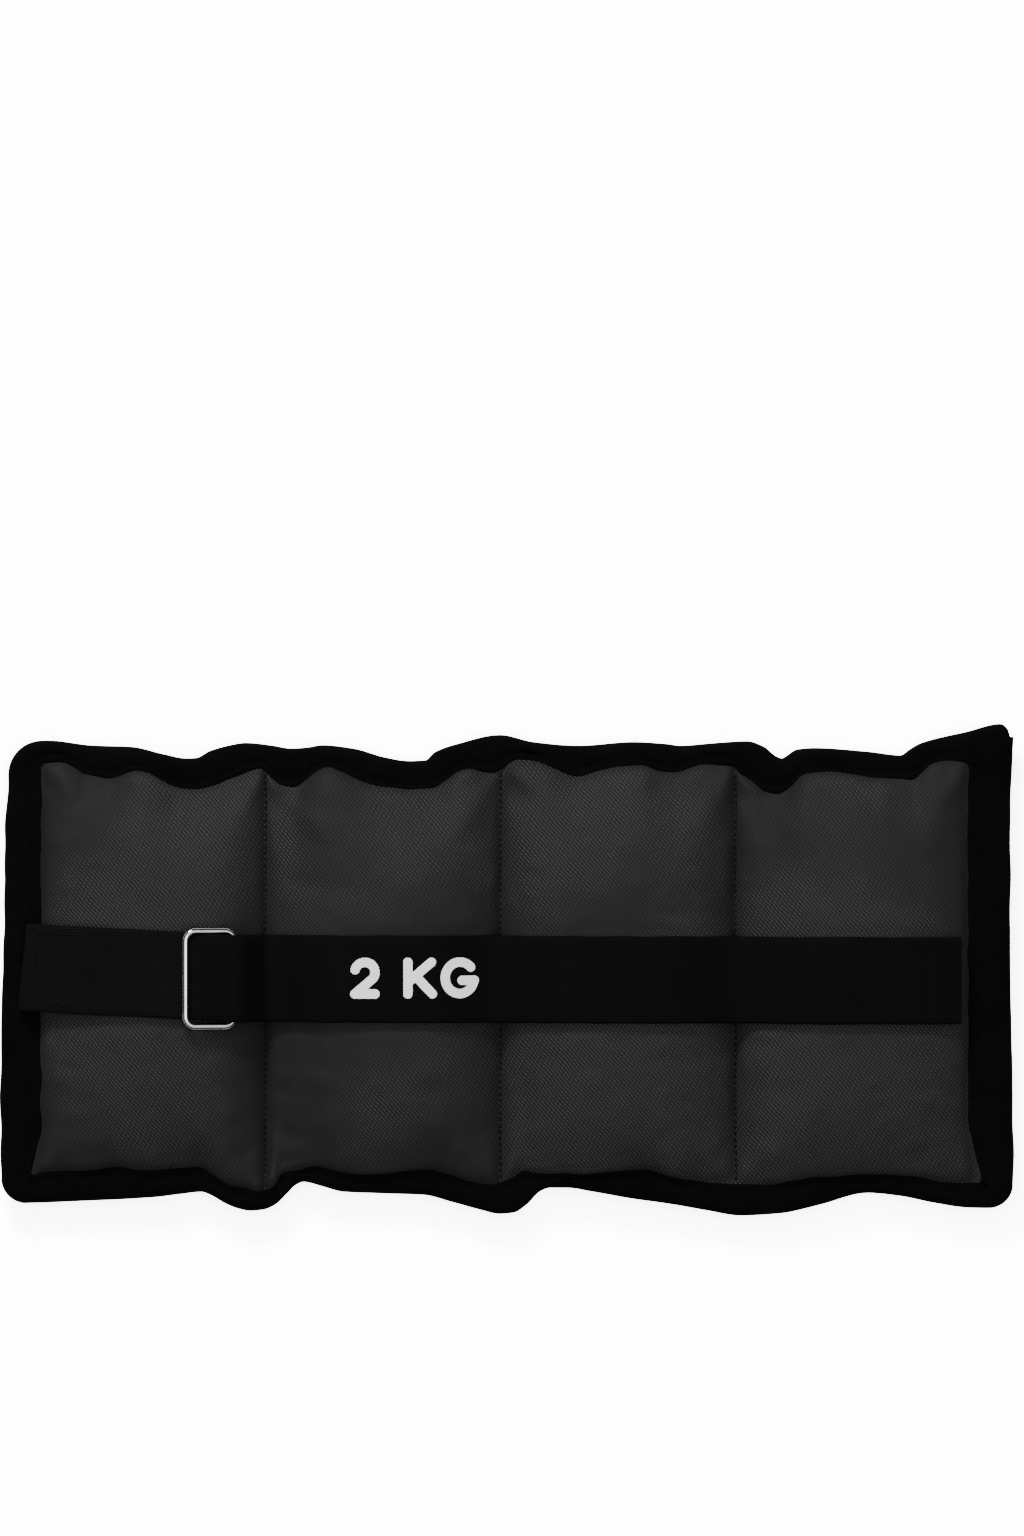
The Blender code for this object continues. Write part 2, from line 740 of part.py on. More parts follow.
# ---- stitching on the strap ----
def stitch_loop(x0, x1, half, rule, radius):
    """Closed stitch line standing just above a strap surface."""
    steps = 6
    path = []
    for k in range(steps):
        x = x0 + (x1 - x0) * k / steps
        path.append((x, strap_y(x) - half, rule(x) + radius + 0.12))
    for k in range(4):
        path.append((x1, strap_y(x1) - half + 2.0 * half * k / 4, rule(x1) + radius + 0.12))
    for k in range(steps):
        x = x1 + (x0 - x1) * k / steps
        path.append((x, strap_y(x) + half, rule(x) + radius + 0.12))
    for k in range(4):
        path.append((x0, strap_y(x0) + half - 2.0 * half * k / 4, rule(x0) + radius + 0.12))
    return tube(path, radius, 4, 0.25 * math.pi)


def tail_top(x):
    return max(tail_rule(x - 1.5), tail_rule(x), tail_rule(x + 1.5)) + STRAP_T


def end_top(x):
    return max(free_under(x - 1.5), free_under(x), free_under(min(x + 1.5, STRAP_END))) + STRAP_T


place("tail_stitch", stitch_loop(-167.0, -148.0, 12.2, tail_top, 0.28), "tail", "thread")
place("end_stitch", stitch_loop(148.0, 157.5, 12.4, end_top, 0.28), "d", "thread")

# ---- wire ring ----
tilt = math.atan2(LEG_LEFT_Z - LEG_RIGHT_Z, span)
length = math.hypot(LEG_LEFT_Z - LEG_RIGHT_Z, span)
half_y = 0.5 * RING_OUT_Y - WIRE_R
corner = RING_CORNER - WIRE_R
ring_path = []
for cx, cy, first in ((corner, half_y - corner, 0.0), (length - corner, half_y - corner, -0.5 * math.pi),
                      (length - corner, -half_y + corner, -math.pi), (corner, -half_y + corner, -1.5 * math.pi)):
    for k in range(5):
        angle = first + 0.5 * math.pi - 0.5 * math.pi * k / 4
        if first == 0.0:
            angle = math.pi - 0.5 * math.pi * k / 4
        elif first == -0.5 * math.pi:
            angle = 0.5 * math.pi - 0.5 * math.pi * k / 4
        elif first == -math.pi:
            angle = -0.5 * math.pi * k / 4
        else:
            angle = -0.5 * math.pi - 0.5 * math.pi * k / 4
        along = cx + corner * math.cos(angle)
        across = cy + corner * math.sin(angle)
        ring_path.append((LEG_RIGHT - along * math.cos(tilt), RING_Y + across,
                          LEG_RIGHT_Z + along * math.sin(tilt)))
place("ring", tube(ring_path, WIRE_R, 10, 0.0), "ring", "chrome")

# ---- centre the whole cuff across Y ----
bpy.context.view_layer.update()
lows = []
highs = []
for obj in bpy.data.objects:
    if obj.type == "MESH":
        ys = [(obj.matrix_world @ v.co).y for v in obj.data.vertices]
        lows.append(min(ys))
        highs.append(max(ys))
shift = -0.5 * (min(lows) + max(highs))
for obj in bpy.data.objects:
    if obj.parent is None:
        obj.location.y += shift
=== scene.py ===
"""Looks of the ankle cuff weight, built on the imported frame.

Lengths inside the helpers are millimetres in the cuff's own plan: x along the cuff, y across it, z up.
"""
import json
import math

import bpy
import bmesh
import numpy as np
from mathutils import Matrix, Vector, noise
from mathutils.bvhtree import BVHTree


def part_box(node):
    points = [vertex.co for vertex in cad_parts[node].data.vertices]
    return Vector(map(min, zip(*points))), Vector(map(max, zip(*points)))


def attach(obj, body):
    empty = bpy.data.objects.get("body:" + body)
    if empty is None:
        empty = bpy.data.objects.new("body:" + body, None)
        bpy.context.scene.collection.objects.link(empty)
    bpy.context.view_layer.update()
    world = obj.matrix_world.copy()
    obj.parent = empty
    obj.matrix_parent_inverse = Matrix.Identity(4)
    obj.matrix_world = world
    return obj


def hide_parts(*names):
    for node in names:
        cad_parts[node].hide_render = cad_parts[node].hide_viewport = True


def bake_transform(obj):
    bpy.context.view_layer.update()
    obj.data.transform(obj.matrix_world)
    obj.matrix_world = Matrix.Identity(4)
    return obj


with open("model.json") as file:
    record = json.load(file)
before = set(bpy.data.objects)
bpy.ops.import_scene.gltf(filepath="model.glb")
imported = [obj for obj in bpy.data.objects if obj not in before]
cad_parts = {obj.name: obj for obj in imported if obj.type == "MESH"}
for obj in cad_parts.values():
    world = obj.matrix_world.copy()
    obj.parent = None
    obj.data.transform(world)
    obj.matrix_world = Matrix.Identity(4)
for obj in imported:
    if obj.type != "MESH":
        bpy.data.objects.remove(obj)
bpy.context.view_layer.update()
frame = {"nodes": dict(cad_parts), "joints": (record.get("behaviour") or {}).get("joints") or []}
MM = 0.001


# ---------------------------------------------------------------- places from the frame
def node_box(name):
    low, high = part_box(name)
    return [c / MM for c in low], [c / MM for c in high]


def joint_place(name):
    found = [j for j in frame["joints"] if j["name"] == name][0]
    return [c / MM for c in found["pos_m"]]


RING_LOW, RING_HIGH = node_box("ring")
RING_MID_Y = 0.5 * (RING_LOW[1] + RING_HIGH[1])
Y0 = RING_MID_Y + 0.9
SEAM_AB, _, SEAM_Z = joint_place("seam_ab_fold")
SEAM_BC = joint_place("seam_bc_fold")[0]
SEAM_CD = joint_place("seam_cd_fold")[0]
LEG_RIGHT, _, LEG_RIGHT_Z = joint_place("ring_swing")
LEG_LEFT, _, LEG_LEFT_Z = joint_place("tail_lift")
HALF_LENGTH = node_box("binding_right")[1][0]
STRAP_END = node_box("base_strap_d")[1][0]
TAIL_END = node_box("strap_tail")[0][0]
WIRE_R = 1.3

POCKETS = {
    "a": (-HALF_LENGTH + 12.5, SEAM_AB),
    "b": (SEAM_AB, SEAM_BC),
    "c": (SEAM_BC, SEAM_CD),
    "d": (SEAM_CD, HALF_LENGTH - 15.3),
}
BODY = {"a": "pocket_a", "b": "pocket_b", "c": "pocket_c", "d": "pocket_d"}
CUTS = {"a": -128.0, "b": -64.0, "c": 38.0, "d": 121.0}

# Outer edge of the binding and its inner edge, which is where the fabric starts.
OUTER_TOP = [
    (-166, 82.7), (-162.2, 82.7), (-147.2, 81.0), (-133.3, 80.5), (-121.8, 77.9), (-113.7, 76.4),
    (-110.2, 76.6), (-105.6, 79.0), (-98.7, 81.0), (-92.9, 81.9), (-83.7, 81.0), (-76.7, 79.9), (-71, 80.3),
    (-65.8, 81.1), (-54.8, 79.9), (-43.3, 76.7), (-35.2, 75.5), (-29.4, 75.7), (-25.9, 78.7), (-17.8, 81.6),
    (-3.0, 84.7), (8.8, 82.2), (24.7, 80.9), (44.2, 82.2), (56.0, 81.5), (60.7, 80.9), (72.5, 81.8),
    (84.3, 82.5), (90.2, 80.6), (94.3, 77.3), (96.7, 76.4), (98.5, 77.5), (102.0, 79.6), (107.9, 80.1),
    (126.8, 78.8), (138.6, 77.5), (141.5, 79.4), (145.7, 81.8), (162.2, 85.9), (174.0, 88.6), (176.6, 86.4),
    (178.2, 81.0),
]
OUTER_BOTTOM = [
    (-172.8, -80.6), (-150, -79.8), (-126, -78.6), (-116, -77.4), (-108.5, -76.6), (-104.6, -78.0),
    (-100.4, -80.5), (-95.8, -82.4), (-91.2, -83.3), (-86.6, -82.9), (-82.2, -81.0), (-78.5, -77.4),
    (-75.2, -74.2), (-72.5, -73.1), (-66, -74.6), (-58.1, -76.6), (-44, -77.2), (-30, -77.7), (-20, -80.2),
    (-10, -82.9), (-3.0, -84.4), (1.7, -84.0), (6.4, -81.1), (11.2, -76.4), (14.7, -75.2), (20.6, -75.2),
    (30.0, -76.6), (44.2, -79.1), (58.3, -81.1), (70.2, -83.2), (82.0, -85.0), (96.1, -84.2),
    (110.3, -81.1), (126.8, -77.0), (138.6, -78.1), (150.4, -80.5), (162.2, -82.2), (170.4, -82.4),
]
INNER_TOP = [
    (-166, 75.0), (-158.7, 75.2), (-154.1, 73.3), (-149.5, 70.4), (-140.2, 69.2), (-135.6, 70.6),
    (-132.2, 71.5), (-127.5, 70.6), (-121.8, 67.5), (-117.1, 65.4), (-111.4, 65.0), (-105.6, 66.3),
    (-98.7, 69.2), (-92.9, 71.5), (-88.3, 72.9), (-85.4, 71.8), (-83.7, 69.2), (-79.0, 66.5), (-75.6, 66.3),
    (-72.1, 68.1), (-67.5, 71.5), (-63.5, 72.7), (-59.4, 71.5), (-52.5, 68.3), (-43.3, 65.5), (-34, 64.8),
    (-27.1, 65.5), (-22.5, 68.1), (-17.8, 71.5), (-13.2, 72.5), (-6.3, 71.4), (-3.0, 72.4), (1.1, 75.3),
    (4.1, 75.9), (10.6, 74.7), (18.2, 71.7), (24.1, 69.7), (28.9, 71.1), (35.9, 72.6), (41.8, 73.5),
    (47.7, 73.5), (52.4, 71.5), (58.3, 70.9), (65.4, 72.9), (72.5, 74.4), (79.4, 73.8), (82.2, 70.6),
    (86.7, 67.6), (90.2, 64.8), (94.9, 64.1), (99.6, 66.4), (104.4, 70.4), (110.3, 71.1), (120.9, 70.2),
    (129.1, 69.0), (142.7, 69.0), (145.7, 71.1), (149.2, 74.0), (153.9, 75.3), (160.4, 75.3), (163, 74.6),
]
INNER_BOTTOM = [
    (-169, -71.2), (-164.5, -69.5), (-154.1, -69.1), (-144.9, -68.4), (-137.9, -67.3), (-129.9, -68.4),
    (-117.1, -67.9), (-109.1, -67.6), (-104.4, -70.5), (-98.7, -74.0), (-92.9, -75.3), (-88.3, -76.3),
    (-86.0, -76.0), (-82.5, -74.0), (-80.8, -70.4), (-75.6, -68.7), (-68.6, -67.2), (-62.9, -68.7),
    (-52.5, -69.9), (-40.9, -69.1), (-29.4, -68.4), (-20.1, -70.3), (-13.2, -73.0), (-6.3, -74.2),
    (-2.8, -73.4), (1.7, -71.6), (5.8, -69.1), (10.0, -69.7), (25.3, -69.9), (38.3, -68.7), (48.9, -68.1),
    (58.3, -71.0), (67.8, -72.8), (79.6, -74.0), (90.2, -74.0), (103.2, -71.6), (115.0, -70.5),
    (129.1, -69.9), (140.9, -70.7), (155.1, -73.4), (168, -73.6),
]
LEFT_EDGE = [(-70, -179.2), (-48, -179.6), (-30, -179.3), (20, -178.2), (50, -177.7), (72, -176.8)]
RIGHT_EDGE = [(-68, 178.3), (-35, 178.0), (10, 177.2), (60, 177.3), (80, 178.3), (86, 178.4)]
LEFT_FLARE = 3.4
RIGHT_FLARE = 4.6


def slope(points, k):
    """Slope of a curve at its k-th point, flat at both ends and at a peak or a dip."""
    if k == 0 or k == len(points) - 1:
        return 0.0
    (x0, y0), (x1, y1), (x2, y2) = points[k - 1:k + 2]
    before = (y1 - y0) / (x1 - x0)
    after = (y2 - y1) / (x2 - x1)
    if before * after <= 0.0:
        return 0.0
    return 2.0 * before * after / (before + after)


def along(points, x):
    """Smooth curve through the points, at x."""
    if x <= points[0][0]:
        return points[0][1]
    for k in range(len(points) - 1):
        x0, y0 = points[k]
        x1, y1 = points[k + 1]
        if x <= x1:
            h = x1 - x0
            t = (x - x0) / h
            m0 = slope(points, k) * h
            m1 = slope(points, k + 1) * h
            return ((2 * t ** 3 - 3 * t ** 2 + 1) * y0 + (t ** 3 - 2 * t ** 2 + t) * m0
                    + (-2 * t ** 3 + 3 * t ** 2) * y1 + (t ** 3 - t ** 2) * m1)
    return points[-1][1]


def clamp(t):
    return min(max(t, 0.0), 1.0)


def eased(t):
    t = clamp(t)
    return t * t * (3.0 - 2.0 * t)


def mixed(a, b, t):
    return a + (b - a) * eased(t)


def flare(y):
    """Share of the widening of the fabric at the two lower outer corners."""
    return eased((-52.0 - y) / 20.0)


def wobble(x, y, z, size, amount):
    """Smooth seeded noise, in millimetres."""
    return amount * noise.noise(Vector((x / size, y / size, z / size)))


# ---------------------------------------------------------------- mesh helpers
def make_object(name, verts, faces, smooth=True):
    mesh = bpy.data.meshes.new(name)
    mesh.from_pydata([(x * MM, (y + Y0) * MM, z * MM) for x, y, z in verts], [], faces)
    mesh.update()
    bm = bmesh.new()
    bm.from_mesh(mesh)
    bmesh.ops.recalc_face_normals(bm, faces=bm.faces)
    bm.to_mesh(mesh)
    bm.free()
    for poly in mesh.polygons:
        poly.use_smooth = smooth
    crisp_caps(mesh)
    obj = bpy.data.objects.new(name, mesh)
    bpy.context.collection.objects.link(obj)
    return obj


def crisp_caps(mesh):
    """Cut ends stay flat, so that two lengths meet without a shading line."""
    rim = set()
    for poly in mesh.polygons:
        if len(poly.vertices) > 4:
            poly.use_smooth = False
            rim.update(poly.edge_keys)
    for edge in mesh.edges:
        if edge.key in rim:
            edge.use_edge_sharp = True


def loft(rings, closed_path=False):
    """Solid through rings of equal length, capped at both ends unless its path closes."""
    n = len(rings[0])
    count = len(rings)
    verts = [p for ring in rings for p in ring]
    faces = []
    for k in range(count if closed_path else count - 1):
        here = k * n
        after = (k + 1) % count * n
        for i in range(n):
            j = (i + 1) % n
            faces.append((here + i, here + j, after + j, after + i))
    if not closed_path:
        faces.append(tuple(range(n)))
        faces.append(tuple((count - 1) * n + i for i in range(n - 1, -1, -1)))
    return verts, faces


def grid_faces(nx, ny):
    """Squares of a grid whose points run along x and then along y."""
    starts = [j * (nx + 1) + i for j in range(ny) for i in range(nx)]
    return [(a, a + 1, a + nx + 2, a + nx + 1) for a in starts]


def dense_points(points, step):
    """Points along a broken line, no further apart than about the step."""
    dense = []
    for (x0, y0), (x1, y1) in zip(points, points[1:]):
        parts = max(int(math.hypot(x1 - x0, y1 - y0) / step), 1)
        dense += [(x0 + (x1 - x0) * q / parts, y0 + (y1 - y0) * q / parts) for q in range(parts)]
    return dense + [points[-1]]


def subdivide(obj):
    """One level of subdivision, applied."""
    mod = obj.modifiers.new("smooth", "SUBSURF")
    mod.levels = 1
    mod.render_levels = 1
    graph = bpy.context.evaluated_depsgraph_get()
    mesh = bpy.data.meshes.new_from_object(obj.evaluated_get(graph))
    obj.modifiers.clear()
    old = obj.data
    obj.data = mesh
    bpy.data.meshes.remove(old)
    for poly in obj.data.polygons:
        poly.use_smooth = True


def tree_of(*objs):
    """Ray target of finished pieces at rest, in millimetres."""
    verts = []
    polys = []
    for obj in objs:
        base = len(verts)
        verts += [v.co / MM for v in obj.data.vertices]
        polys += [tuple(base + i for i in p.vertices) for p in obj.data.polygons]
    return BVHTree.FromPolygons(verts, polys)


def top_of(tree, x, y, other=None):
    """Height of the highest surface at a plan point, or the other value where there is none."""
    hit = tree.ray_cast(Vector((x, y + Y0, 80.0)), Vector((0.0, 0.0, -1.0)))
    return other if hit[0] is None else hit[0].z


# ---------------------------------------------------------------- materials
def grey(value):
    if isinstance(value, (int, float)):
        return (value, value, value, 1.0)
    return (*value, 1.0)


def math_node(tree, kind, *values):
    node = tree.nodes.new("ShaderNodeMath")
    node.operation = kind
    for socket, value in zip(node.inputs, values):
        if isinstance(value, (int, float)):
            socket.default_value = value
        else:
            tree.links.new(value, socket)
    return node.outputs[0]


def ramp_node(tree, factor, stops):
    """Greys or colours between the stops, given as (position, value)."""
    node = tree.nodes.new("ShaderNodeValToRGB")
    tree.links.new(factor, node.inputs["Fac"])
    ramp = node.color_ramp
    for element, (position, value) in zip(ramp.elements, (stops[0], stops[-1])):
        element.position = position
        element.color = grey(value)
    for position, value in stops[1:-1]:
        ramp.elements.new(position).color = grey(value)
    return node.outputs["Color"]


class Surface:
    """A principled material with its rest position in millimetres, x and y, to weave patterns from."""

    def __init__(self, name, rough, metal=0.0):
        self.mat = bpy.data.materials.new(name)
        self.mat.use_nodes = True
        self.tree = self.mat.node_tree
        self.shader = self.tree.nodes["Principled BSDF"]
        self.hold("Roughness", rough)
        self.hold("Metallic", metal)
        self.place = self.tree.nodes.new("ShaderNodeTexCoord").outputs["Object"]
        split = self.tree.nodes.new("ShaderNodeSeparateXYZ")
        self.tree.links.new(self.place, split.inputs[0])
        self.x = self.mul(split.outputs[0], 1.0 / MM)
        self.y = self.mul(split.outputs[1], 1.0 / MM)

    def add(self, total, *others):
        for other in others:
            total = math_node(self.tree, "ADD", total, other)
        return total

    def sub(self, a, b):
        return math_node(self.tree, "SUBTRACT", a, b)

    def mul(self, a, b):
        return math_node(self.tree, "MULTIPLY", a, b)

    def wave(self, value, pitch):
        """0 to 1 sine of a length in millimetres."""
        sine = math_node(self.tree, "SINE", self.mul(value, 2.0 * math.pi / pitch))
        return self.add(self.mul(sine, 0.5), 0.5)

    def noise(self, per_metre, detail=3.0, rough=0.5):
        node = self.tree.nodes.new("ShaderNodeTexNoise")
        for key, value in (("Scale", per_metre), ("Detail", detail), ("Roughness", rough)):
            node.inputs[key].default_value = value
        self.tree.links.new(self.place, node.inputs["Vector"])
        return node.outputs["Fac"]

    def cells(self, per_metre):
        node = self.tree.nodes.new("ShaderNodeTexVoronoi")
        node.inputs["Scale"].default_value = per_metre
        self.tree.links.new(self.place, node.inputs["Vector"])
        return node.outputs["Distance"]

    def ramp(self, factor, stops):
        return ramp_node(self.tree, factor, stops)

    def feed(self, key, value):
        self.tree.links.new(value, self.shader.inputs[key])

    def hold(self, key, value):
        self.shader.inputs[key].default_value = value

    def bump(self, height, strength, distance):
        node = self.tree.nodes.new("ShaderNodeBump")
        node.inputs["Strength"].default_value = strength
        node.inputs["Distance"].default_value = distance
        self.tree.links.new(height, node.inputs["Height"])
        self.feed("Normal", node.outputs["Normal"])


RIB_X, RIB_Y = 0.743, 0.669
RIB_PITCH = 1.08
FLOAT_PITCH = 1.7


def twill_material():
    """Coarse grey-black polyester with a diagonal rib that runs down to the right, the rib painted lighter in
    the base colour as a highlight on the yarn floats, stronger in random patches.
    """
    s = Surface("twill_fabric", 0.82)
    across = s.add(s.mul(s.x, RIB_X), s.mul(s.y, RIB_Y), s.mul(s.noise(90.0, 2.0), 1.4))
    lengthwise = s.add(s.sub(s.mul(s.x, RIB_Y), s.mul(s.y, RIB_X)), s.mul(across, 0.45))
    floats = s.add(s.mul(s.wave(lengthwise, FLOAT_PITCH), 0.55), 0.45)
    yarn = s.mul(math_node(s.tree, "POWER", s.wave(across, RIB_PITCH), 1.6), floats)
    # Random patches where the rib's painted highlight is stronger; they also deepen its bump.
    yarn = s.mul(yarn, s.ramp(s.noise(17.0, 2.0), [(0.36, 0.28), (0.58, 1.0)]))
    fuzz = s.noise(1400.0, 2.0, 0.7)
    # The yarn share of the base colour is a painted highlight on the rib.
    tone = s.add(s.mul(yarn, 0.80), s.mul(fuzz, 0.26), s.mul(s.noise(28.0, 4.0, 0.6), 0.34))
    s.feed("Base Color", s.ramp(tone, [(0.25, (0.0074, 0.0074, 0.0075)), (0.55, (0.0122, 0.0122, 0.0123)),
                                       (0.95, (0.0290, 0.0290, 0.0291))]))
    s.bump(s.add(yarn, s.mul(fuzz, 0.35)), 0.6, 0.0003)
    s.feed("Roughness", s.sub(0.80, s.mul(yarn, 0.34)))
    s.hold("Sheen Weight", 0.02)
    s.hold("Sheen Roughness", 0.5)
    s.hold("Specular IOR Level", 0.16)
    return s.mat


def tape_material():
    """Near-black polyester binding: fine cross rib and loose fuzz."""
    s = Surface("binding_tape", 0.93)
    fuzz = s.noise(900.0, 3.0, 0.7)
    weave = s.mul(s.wave(s.x, 0.8), s.wave(s.y, 0.8))
    tone = s.add(s.mul(fuzz, 0.5), s.mul(s.noise(60.0, 4.0, 0.6), 0.4), s.mul(weave, 0.18))
    s.feed("Base Color", s.ramp(tone, [(0.2, 0.0011), (0.55, 0.0022), (0.85, 0.0046)]))
    s.bump(s.add(weave, fuzz), 0.5, 0.0003)
    s.hold("Specular IOR Level", 0.03)
    return s.mat


def webbing_material(name, low, mid, high):
    """Flat woven strap: fine lengthwise rows crossed by a tighter rib."""
    s = Surface(name, 0.8)
    rows = s.wave(s.y, 1.05)
    picks = s.wave(s.add(s.x, s.mul(rows, 0.45)), 0.72)
    weave = s.mul(s.add(rows, 0.35), s.add(picks, 0.35))
    fuzz = s.noise(1100.0, 3.0, 0.7)
    tone = s.add(s.mul(weave, 0.24), s.mul(fuzz, 0.34), s.mul(s.noise(45.0, 4.0, 0.6), 0.34))
    s.feed("Base Color", s.ramp(tone, [(0.22, low), (0.55, mid), (0.9, high)]))
    s.bump(s.add(weave, s.mul(fuzz, 0.4)), 0.5, 0.00022)
    s.hold("Specular IOR Level", 0.045)
    return s.mat


def hook_material():
    """Hook tape: dense little points on a stiff black backing."""
    s = Surface("hook_tape", 0.55)
    points = s.cells(900.0)
    s.feed("Base Color", s.ramp(points, [(0.1, 0.020), (0.6, 0.004)]))
    s.bump(s.sub(1.0, points), 0.9, 0.0006)
    return s.mat


def thread_material(name, value):
    """Twisted sewing thread."""
    s = Surface(name, 0.7)
    tone = s.add(s.mul(s.wave(s.add(s.x, s.y), 0.5), 0.5), s.mul(s.noise(1500.0), 0.5))
    s.feed("Base Color", s.ramp(tone, [(0.15, value * 0.5), (0.85, value * 1.6)]))
    s.bump(tone, 0.5, 0.0001)
    s.hold("Specular IOR Level", 0.08)
    return s.mat


def chrome_material():
    """Bright chromed wire, faintly clouded and unevenly polished."""
    s = Surface("chrome_wire", 0.12, 1.0)
    cloud = s.noise(160.0, 4.0, 0.6)
    s.feed("Base Color", s.ramp(cloud, [(0.3, (0.40, 0.41, 0.42)), (0.7, (0.56, 0.57, 0.58))]))
    s.feed("Roughness", s.add(s.mul(s.noise(700.0, 2.0), 0.08), 0.03))
    s.bump(cloud, 0.05, 0.0001)
    return s.mat


def print_material():
    """White transfer ink on webbing, with the weave showing through and tiny worn specks."""
    s = Surface("white_print", 0.55)
    s.feed("Base Color", s.ramp(s.noise(900.0, 3.0, 0.6), [(0.2, 0.84), (0.45, 0.93), (0.8, 0.96)]))
    s.bump(s.mul(s.wave(s.y, 1.05), s.wave(s.x, 0.7)), 0.25, 0.0001)
    return s.mat


def grain_material(name, low, high, per_metre, rough, metal):
    """Filling and inner bag, which stay inside the pockets."""
    s = Surface(name, rough, metal)
    grains = s.cells(per_metre)
    s.feed("Base Color", s.ramp(grains, [(0.1, high), (0.7, low)]))
    s.bump(grains, 0.4, 0.0004)
    return s.mat


TWILL = twill_material()
TAPE = tape_material()
WEBBING = webbing_material("strap_webbing", 0.0014, 0.0024, 0.0045)
TAIL_WEB = webbing_material("tail_webbing", 0.0020, 0.0034, 0.0061)
HOOK = hook_material()
THREAD = thread_material("black_thread", 0.0022)
THREAD_GREY = thread_material("strap_thread", 0.0036)
CHROME = chrome_material()
PRINT = print_material()
BAG = grain_material("inner_bag_cloth", 0.30, 0.45, 1200.0, 0.7, 0.0)
SAND = grain_material("iron_sand_grain", 0.03, 0.20, 1500.0, 0.5, 0.6)


def dress(obj, mat, slot, *nodes):
    """Material of a finished piece, and the nodes that it stands for, hidden. The slot is not used."""
    obj.data.materials.clear()
    obj.data.materials.append(mat)
    if nodes:
        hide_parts(*nodes)


# ---------------------------------------------------------------- pockets
FRONT_EDGE_Z = SEAM_Z + 0.9
CROWN_Z = 25.2
GATHER_X = {"a": 1.085, "b": 1.10, "c": 1.10, "d": 1.085}
GATHER_Y = 1.035
SIM_SCALE = 10.0
FOLD_GAIN = 1.2
SIM_FRAMES = 34
CUT_LOW = -72.0
CUT_SPAN = 146.0
CALM_PASSES = 10
CLOTH = {
    "quality": 7,
    "mass": 0.25,
    "tension_stiffness": 30.0,
    "compression_stiffness": 30.0,
    "shear_stiffness": 8.0,
    "bending_stiffness": 0.35,
    "tension_damping": 12.0,
    "compression_damping": 12.0,
    "shear_damping": 8.0,
    "air_damping": 4.0,
    "use_pressure": True,
    "uniform_pressure_force": 3.2,
    "vertex_group_mass": "held",
    "pin_stiffness": 1.0,
}


def pocket_plan(letter, nx, ny):
    """Plan grid of the front panel, edges pulled to the sewn outline."""
    left, right = POCKETS[letter]
    seed = 11.0 * "abcd".index(letter)
    rows = []
    for j in range(ny + 1):
        v = j / ny
        row = []
        for i in range(nx + 1):
            u = i / nx
            x = left + (right - left) * u
            near = min(max(x, left + 0.4), right - 0.4)
            low = along(INNER_BOTTOM, near) - 0.8
            high = along(INNER_TOP, near) + 0.8
            y = low + (high - low) * v
            edge = min(u, 1.0 - u)
            sway = wobble(x, y, seed, 30.0, 1.0) * (0.4 if edge == 0.0 else 1.0)
            x += 0.0 if letter in "bc" and edge == 0.0 else 0.3 * sway
            if letter == "a":
                x -= LEFT_FLARE * flare(y) * (1.0 - u) ** 3
            if letter == "d":
                x += RIGHT_FLARE * flare(y) * u ** 3
            row.append((x, y))
        rows.append(row)
    return rows


def swell(u, v):
    """Share of a pocket's full height at a place across and along it, 0 at its sewn edges."""
    return (1.0 - abs(2.0 * u - 1.0) ** 2.5) ** 0.68 * (1.0 - abs(2.0 * v - 1.0) ** 2.6) ** 0.54


def calm(heights, passes):
    """Low-pass copy of a height grid, its edge held."""
    out = heights.copy()
    for _ in range(passes):
        mean = 0.25 * (out[:-2, 1:-1] + out[2:, 1:-1] + out[1:-1, :-2] + out[1:-1, 2:])
        out[1:-1, 1:-1] = 0.4 * out[1:-1, 1:-1] + 0.6 * mean
    return out


# Side and end of the corner that a ridge starts from, its angle in degrees and its height.
RIDGES = ((0.0, 1.0, 36.0, 2.0), (0.0, -1.0, 50.0, 1.3), (1.0, 1.0, 58.0, 2.0), (1.0, -1.0, 46.0, 1.2),
          (0.0, 1.0, 14.0, 0.8), (0.0, -1.0, 76.0, 1.0), (1.0, -1.0, 74.0, 1.0))


def creases(letter, x, y):
    """Ridges that run in from the sewn corners between two hollows, and puckers along the binding."""
    left, right = POCKETS[letter]
    total = 0.0
    for side, end, angle, size in RIDGES:
        cx = left + (right - left) * side
        cy = along(INNER_TOP if end > 0 else INNER_BOTTOM, cx + (2.0 if side == 0.0 else -2.0))
        turn = math.radians(angle + wobble(cx, cy, 61.0, 20.0, 14.0))
        ax = math.cos(turn) * (1.0 if side == 0.0 else -1.0)
        ay = -math.sin(turn) * end
        run = (x - cx) * ax + (y - cy) * ay
        off = abs((x - cx) * ay - (y - cy) * ax)
        if run < 0.0:
            continue
        wide = 1.7 + 0.10 * run
        shape = math.exp(-(off / wide) ** 2) - 0.75 * math.exp(-((off - 2.5 * wide) / (1.4 * wide)) ** 2)
        total += size * shape * (1.0 - math.exp(-run / 4.0)) * math.exp(-run / 17.0)
    for curve, end in ((INNER_TOP, 1.0), (INNER_BOTTOM, -1.0)):
        level = 0.25 * sum(along(curve, min(max(x + d, left), right)) for d in (-11.0, -6.0, 6.0, 11.0))
        swing = end * (along(curve, x) - level)
        gap = max(end * (along(curve, x) - y), 0.0)
        total += 0.85 * swing * math.exp(-gap / 10.0) * (1.0 - math.exp(-gap / 1.6))
    return total


